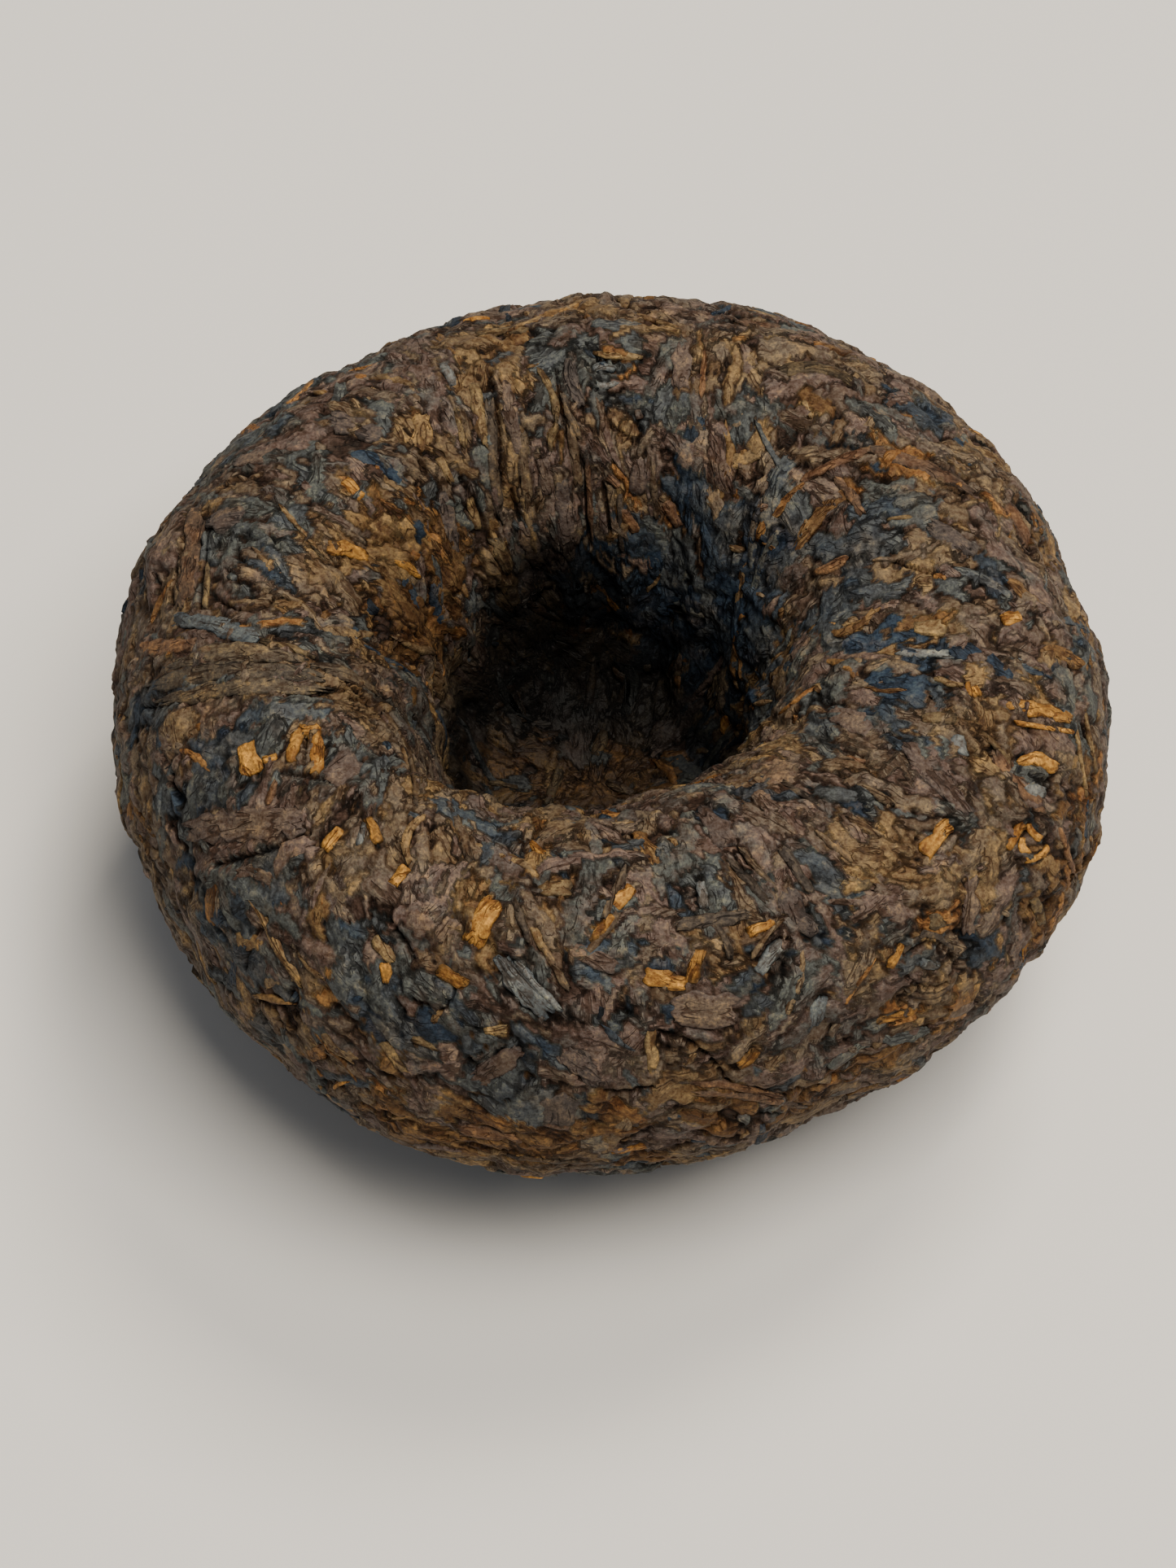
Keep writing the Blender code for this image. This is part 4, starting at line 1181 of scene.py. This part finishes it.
def pressing_tree():
    """Scatters shreds over the skin, turns each near the way the leaf lies, and presses it on level."""
    tree = bpy.data.node_groups.new("press_shreds", "GeometryNodeTree")
    face = tree.interface
    face.new_socket("Geometry", in_out="INPUT", socket_type="NodeSocketGeometry")
    sizes = (
        ("Shreds", "NodeSocketCollection", None),
        ("Spacing", "NodeSocketFloat", 0.0005),
        ("Per Area", "NodeSocketFloat", 1000000.0),
        ("Least Size", "NodeSocketFloat", 0.8),
        ("Most Size", "NodeSocketFloat", 1.25),
        ("Lowest", "NodeSocketFloat", -0.00006),
        ("Highest", "NodeSocketFloat", 0.00006),
        ("Level", "NodeSocketFloat", 0.0002),
        ("Tilt", "NodeSocketFloat", 0.08),
        ("Stray", "NodeSocketFloat", 0.4),
        ("Seed", "NodeSocketInt", 1),
        ("Material", "NodeSocketMaterial", None),
    )
    for name, kind, value in sizes:
        socket = face.new_socket(name, in_out="INPUT", socket_type=kind)
        if value is not None:
            socket.default_value = value
    face.new_socket("Geometry", in_out="OUTPUT", socket_type="NodeSocketGeometry")
    given = tree.nodes.new("NodeGroupInput").outputs
    skin, seed = given["Geometry"], given["Seed"]

    def named(attribute, kind):
        return result(add(tree, "GeometryNodeInputNamedAttribute", {"data_type": kind}, Name=attribute))

    def drawn(least, most, offset):
        """A random number for each shred. Another offset gives another draw."""
        return result(add(tree, "FunctionNodeRandomValue", {"data_type": "FLOAT"}, Min=least, Max=most,
                          Seed=maths(tree, "ADD", seed, float(offset))))

    def stored(geometry, name, kind, value):
        return result(add(tree, "GeometryNodeStoreNamedAttribute", {"data_type": kind, "domain": "POINT"},
                          Geometry=geometry, Name=name, Value=value))

    def scaled(vector, share):
        return result(add(tree, "ShaderNodeVectorMath", {"operation": "SCALE"}, Vector=vector, Scale=share))

    spots = add(tree, "GeometryNodeDistributePointsOnFaces", {"distribute_method": "POISSON"}, Mesh=skin,
                Distance_Min=given["Spacing"], Density_Max=given["Per Area"],
                Density_Factor=named("room", "FLOAT"), Seed=seed)
    here = result(add(tree, "GeometryNodeInputPosition"))
    points = stored(result(spots, "Points"), "seat", "FLOAT_VECTOR", here)
    points = stored(points, "outward", "FLOAT_VECTOR", result(spots, "Normal"))
    points = stored(points, "tint", "FLOAT", drawn(0.0, 1.0, 11))
    points = stored(points, "own", "FLOAT", drawn(0.0, 1.0, 18))
    points = stored(points, "lift", "FLOAT", drawn(given["Lowest"], given["Highest"], 12))

    lie = add(tree, "FunctionNodeAxesToRotation", {"primary_axis": "Z", "secondary_axis": "X"},
              Primary_Axis=result(spots, "Normal"), Secondary_Axis=named("grain", "FLOAT_VECTOR"))
    steep = maths(tree, "MULTIPLY", given["Tilt"], -1.0)
    astray = maths(tree, "MULTIPLY", given["Stray"], -1.0)
    turned = add(tree, "ShaderNodeCombineXYZ", X=drawn(steep, given["Tilt"], 16),
                 Y=product(tree, drawn(steep, given["Tilt"], 17), 0.5), Z=drawn(astray, given["Stray"], 13))
    turned = add(tree, "FunctionNodeEulerToRotation", Euler=result(turned))
    rotation = add(tree, "FunctionNodeRotateRotation", {"rotation_space": "LOCAL"},
                   Rotation=result(lie), Rotate_By=result(turned))
    size = add(tree, "ShaderNodeCombineXYZ", X=drawn(given["Least Size"], given["Most Size"], 14),
               Y=drawn(given["Least Size"], given["Most Size"], 15), Z=1.0)
    blanks = add(tree, "GeometryNodeCollectionInfo", Collection=given["Shreds"], Separate_Children=True)
    which = add(tree, "FunctionNodeRandomValue", {"data_type": "INT"}, Min=0, Max=BLANKS_OF_EACH - 1,
                Seed=seed)
    laid = add(tree, "GeometryNodeInstanceOnPoints", Points=points, Instance=result(blanks),
               Pick_Instance=True, Instance_Index=result(which), Rotation=result(rotation),
               Scale=result(size))
    real = result(add(tree, "GeometryNodeRealizeInstances", Geometry=result(laid)))

    outward = named("outward", "FLOAT_VECTOR")
    off = vectors(tree, "SUBTRACT", here, named("seat", "FLOAT_VECTOR"))
    height = vectors(tree, "DOT_PRODUCT", off, outward)
    flat = vectors(tree, "SUBTRACT", here, scaled(outward, height))

    def on_skin(value):
        return result(add(tree, "GeometryNodeSampleNearestSurface", {"data_type": "FLOAT_VECTOR"}, Mesh=skin,
                          Value=value, Sample_Position=flat))

    foot = on_skin(here)
    up = vectors(tree, "NORMALIZE", on_skin(result(add(tree, "GeometryNodeInputNormal"), "Normal")))
    level = maths(tree, "SMOOTH_MIN", height, given["Level"], LEVEL_BLEND)
    level = maths(tree, "ADD", level, named("lift", "FLOAT"))
    place = vectors(tree, "ADD", foot, scaled(up, level))
    clear = add(tree, "ShaderNodeCombineXYZ", X=-1.0, Y=-1.0,
                Z=maths(tree, "MULTIPLY", named("tint", "FLOAT"), REST_CLEARANCE))
    place = vectors(tree, "MAXIMUM", place, result(clear))
    # The rise of each point sets how much painted shade a low place takes in the finish.
    real = stored(real, "rise", "FLOAT", maths(tree, "MULTIPLY_ADD", level, 1.0 / RISE_SPAN, 0.5))
    moved = add(tree, "GeometryNodeSetPosition", Geometry=real, Position=place)
    smooth = add(tree, "GeometryNodeSetShadeSmooth", Geometry=result(moved))
    finished = add(tree, "GeometryNodeSetMaterial", Geometry=result(smooth), Material=given["Material"])
    out = tree.nodes.new("NodeGroupOutput")
    tree.links.new(result(finished), out.inputs["Geometry"])
    return tree


def bare_skin():
    """The bare skin for the tree to scatter on: which way leaf lies there, and where there is room."""
    mesh = bpy.data.meshes.new("bare_skin")
    mesh.from_pydata(skin_points.tolist(), [], skin_faces)
    mesh.shade_smooth()
    ways = lie_ways[::COARSE, ::COARSE]
    rows = [ways[0, :1], *ways[1:-1], ways[-1, :1]]
    note(mesh, "grain", np.concatenate(rows).ravel(), "FLOAT_VECTOR", "vector")
    room = np.ones(len(skin_points))
    for path, width in shown_strips:
        for place, _ in path[::2]:
            room[np.linalg.norm(skin_points - np.array(place), axis=1) < width / 2 + ROOM_REACH] = 0
    note(mesh, "room", room)
    return mesh


skin = bare_skin()
pressing = pressing_tree()


def press_on(name, blanks, material, spacing, seed, least=0.8, most=1.25, lowest=-0.05, highest=0.0,
             level=0.06, tilt=0.08, stray=0.4):
    """One kind of shred, scattered, pressed on and made a plain mesh. Heights are in millimetres."""
    carrier = linked(f"{name}_carrier", skin.copy())
    press = carrier.modifiers.new("press", "NODES")
    press.node_group = pressing
    values = {
        "Shreds": blanks,
        "Spacing": spacing,
        "Per Area": 1.0 / spacing**2,
        "Least Size": least,
        "Most Size": most,
        "Lowest": lowest * MM,
        "Highest": highest * MM,
        "Level": level * MM,
        "Tilt": tilt,
        "Stray": stray,
        "Seed": seed,
        "Material": material,
    }
    for socket in pressing.interface.items_tree:
        if socket.in_out == "INPUT" and socket.name in values:
            press[socket.identifier] = values[socket.name]
    bpy.context.view_layer.update()
    graph = bpy.context.evaluated_depsgraph_get()
    mesh = bpy.data.meshes.new_from_object(carrier.evaluated_get(graph), depsgraph=graph)
    carrier.modifiers.remove(press)
    bpy.data.objects.remove(carrier)
    mesh.name = name
    pressed_tea(linked(name, mesh))


flat = blank_set("flat_blank", 4, 1.7 * MM, 0.5 * MM, 0.05 * MM, steps=9, lanes=6)
rolled = blank_set("rolled_blank", 5, 1.8 * MM, 0.26 * MM, 0.09 * MM, steps=10, lanes=5)
crumb = blank_set("crumb_blank", 6, 0.42 * MM, 0.26 * MM, 0.05 * MM, steps=4, lanes=4)
tips = blank_set("tip_blank", 7, 0.85 * MM, 0.26 * MM, 0.07 * MM, steps=8, lanes=5, pointed=0.7)

press_on("flat_shreds", flat, matted_leaf, 1.3 * MM, seed=22, lowest=-0.03, highest=0.015)
press_on("rolled_shreds", rolled, matted_leaf, 1.3 * MM, seed=23, lowest=-0.04, highest=0.01, level=0.08)
press_on("leaf_crumbs", crumb, matted_leaf, 0.9 * MM, seed=24, lowest=-0.03, highest=0.03, stray=1.5)
press_on("small_golden_tips", tips, shown_finishes["golden_buds"], 3.6 * MM, seed=33, least=0.6, most=1.2,
         lowest=-0.02, highest=0.03)

# ---------------------------------------------------------------------------------------------------------
# The floor and the light: a plain pale floor, a soft studio light from behind and to the right, and a
# broader one in front that opens the shadows.

FLOOR_REACH = 1.2
FLOOR_COLOUR = (0.66, 0.64, 0.61, 1.0)
FLOOR_ROUGHNESS = 0.8
SKY_COLOUR = (0.86, 0.92, 1.0, 1.0)
SKY_STRENGTH = 0.24
# Each light's place, size, watts and colour.
LIGHTS = {
    "key": (Vector((0.12, 0.17, 0.40)), 0.14, 1.45, (1.0, 0.91, 0.77)),
    "fill": (Vector((0.10, -0.11, 0.43)), 0.22, 2.7, (1.0, 0.93, 0.82)),
}

floor = bpy.data.meshes.new("floor")
floor_corners = [(x * FLOOR_REACH, y * FLOOR_REACH, 0.0) for x, y in ((-1, -1), (1, -1), (1, 1), (-1, 1))]
floor.from_pydata(floor_corners, [], [(0, 1, 2, 3)])
ground = linked("floor", floor)
pale, _, pale_shader = new_material("pale_floor")
pale_shader.inputs["Base Color"].default_value = FLOOR_COLOUR
pale_shader.inputs["Roughness"].default_value = FLOOR_ROUGHNESS
floor.materials.append(pale)


def soft_light(name, place, size, power, colour):
    """A square soft light that faces the cake."""
    lamp = bpy.data.lights.new(name, "AREA")
    lamp.size = size
    lamp.energy = power
    lamp.color = colour
    stand = bpy.data.objects.new(name, lamp)
    stand.location = place
    stand.rotation_euler = (stand.location - VIEW_TARGET).to_track_quat("Z", "Y").to_euler()
    bpy.context.scene.collection.objects.link(stand)


for name, light in LIGHTS.items():
    soft_light(name, *light)
world = bpy.data.worlds.new("studio")
world.use_nodes = True
sky = world.node_tree.nodes["Background"].inputs
sky["Color"].default_value = SKY_COLOUR
sky["Strength"].default_value = SKY_STRENGTH
bpy.context.scene.world = world
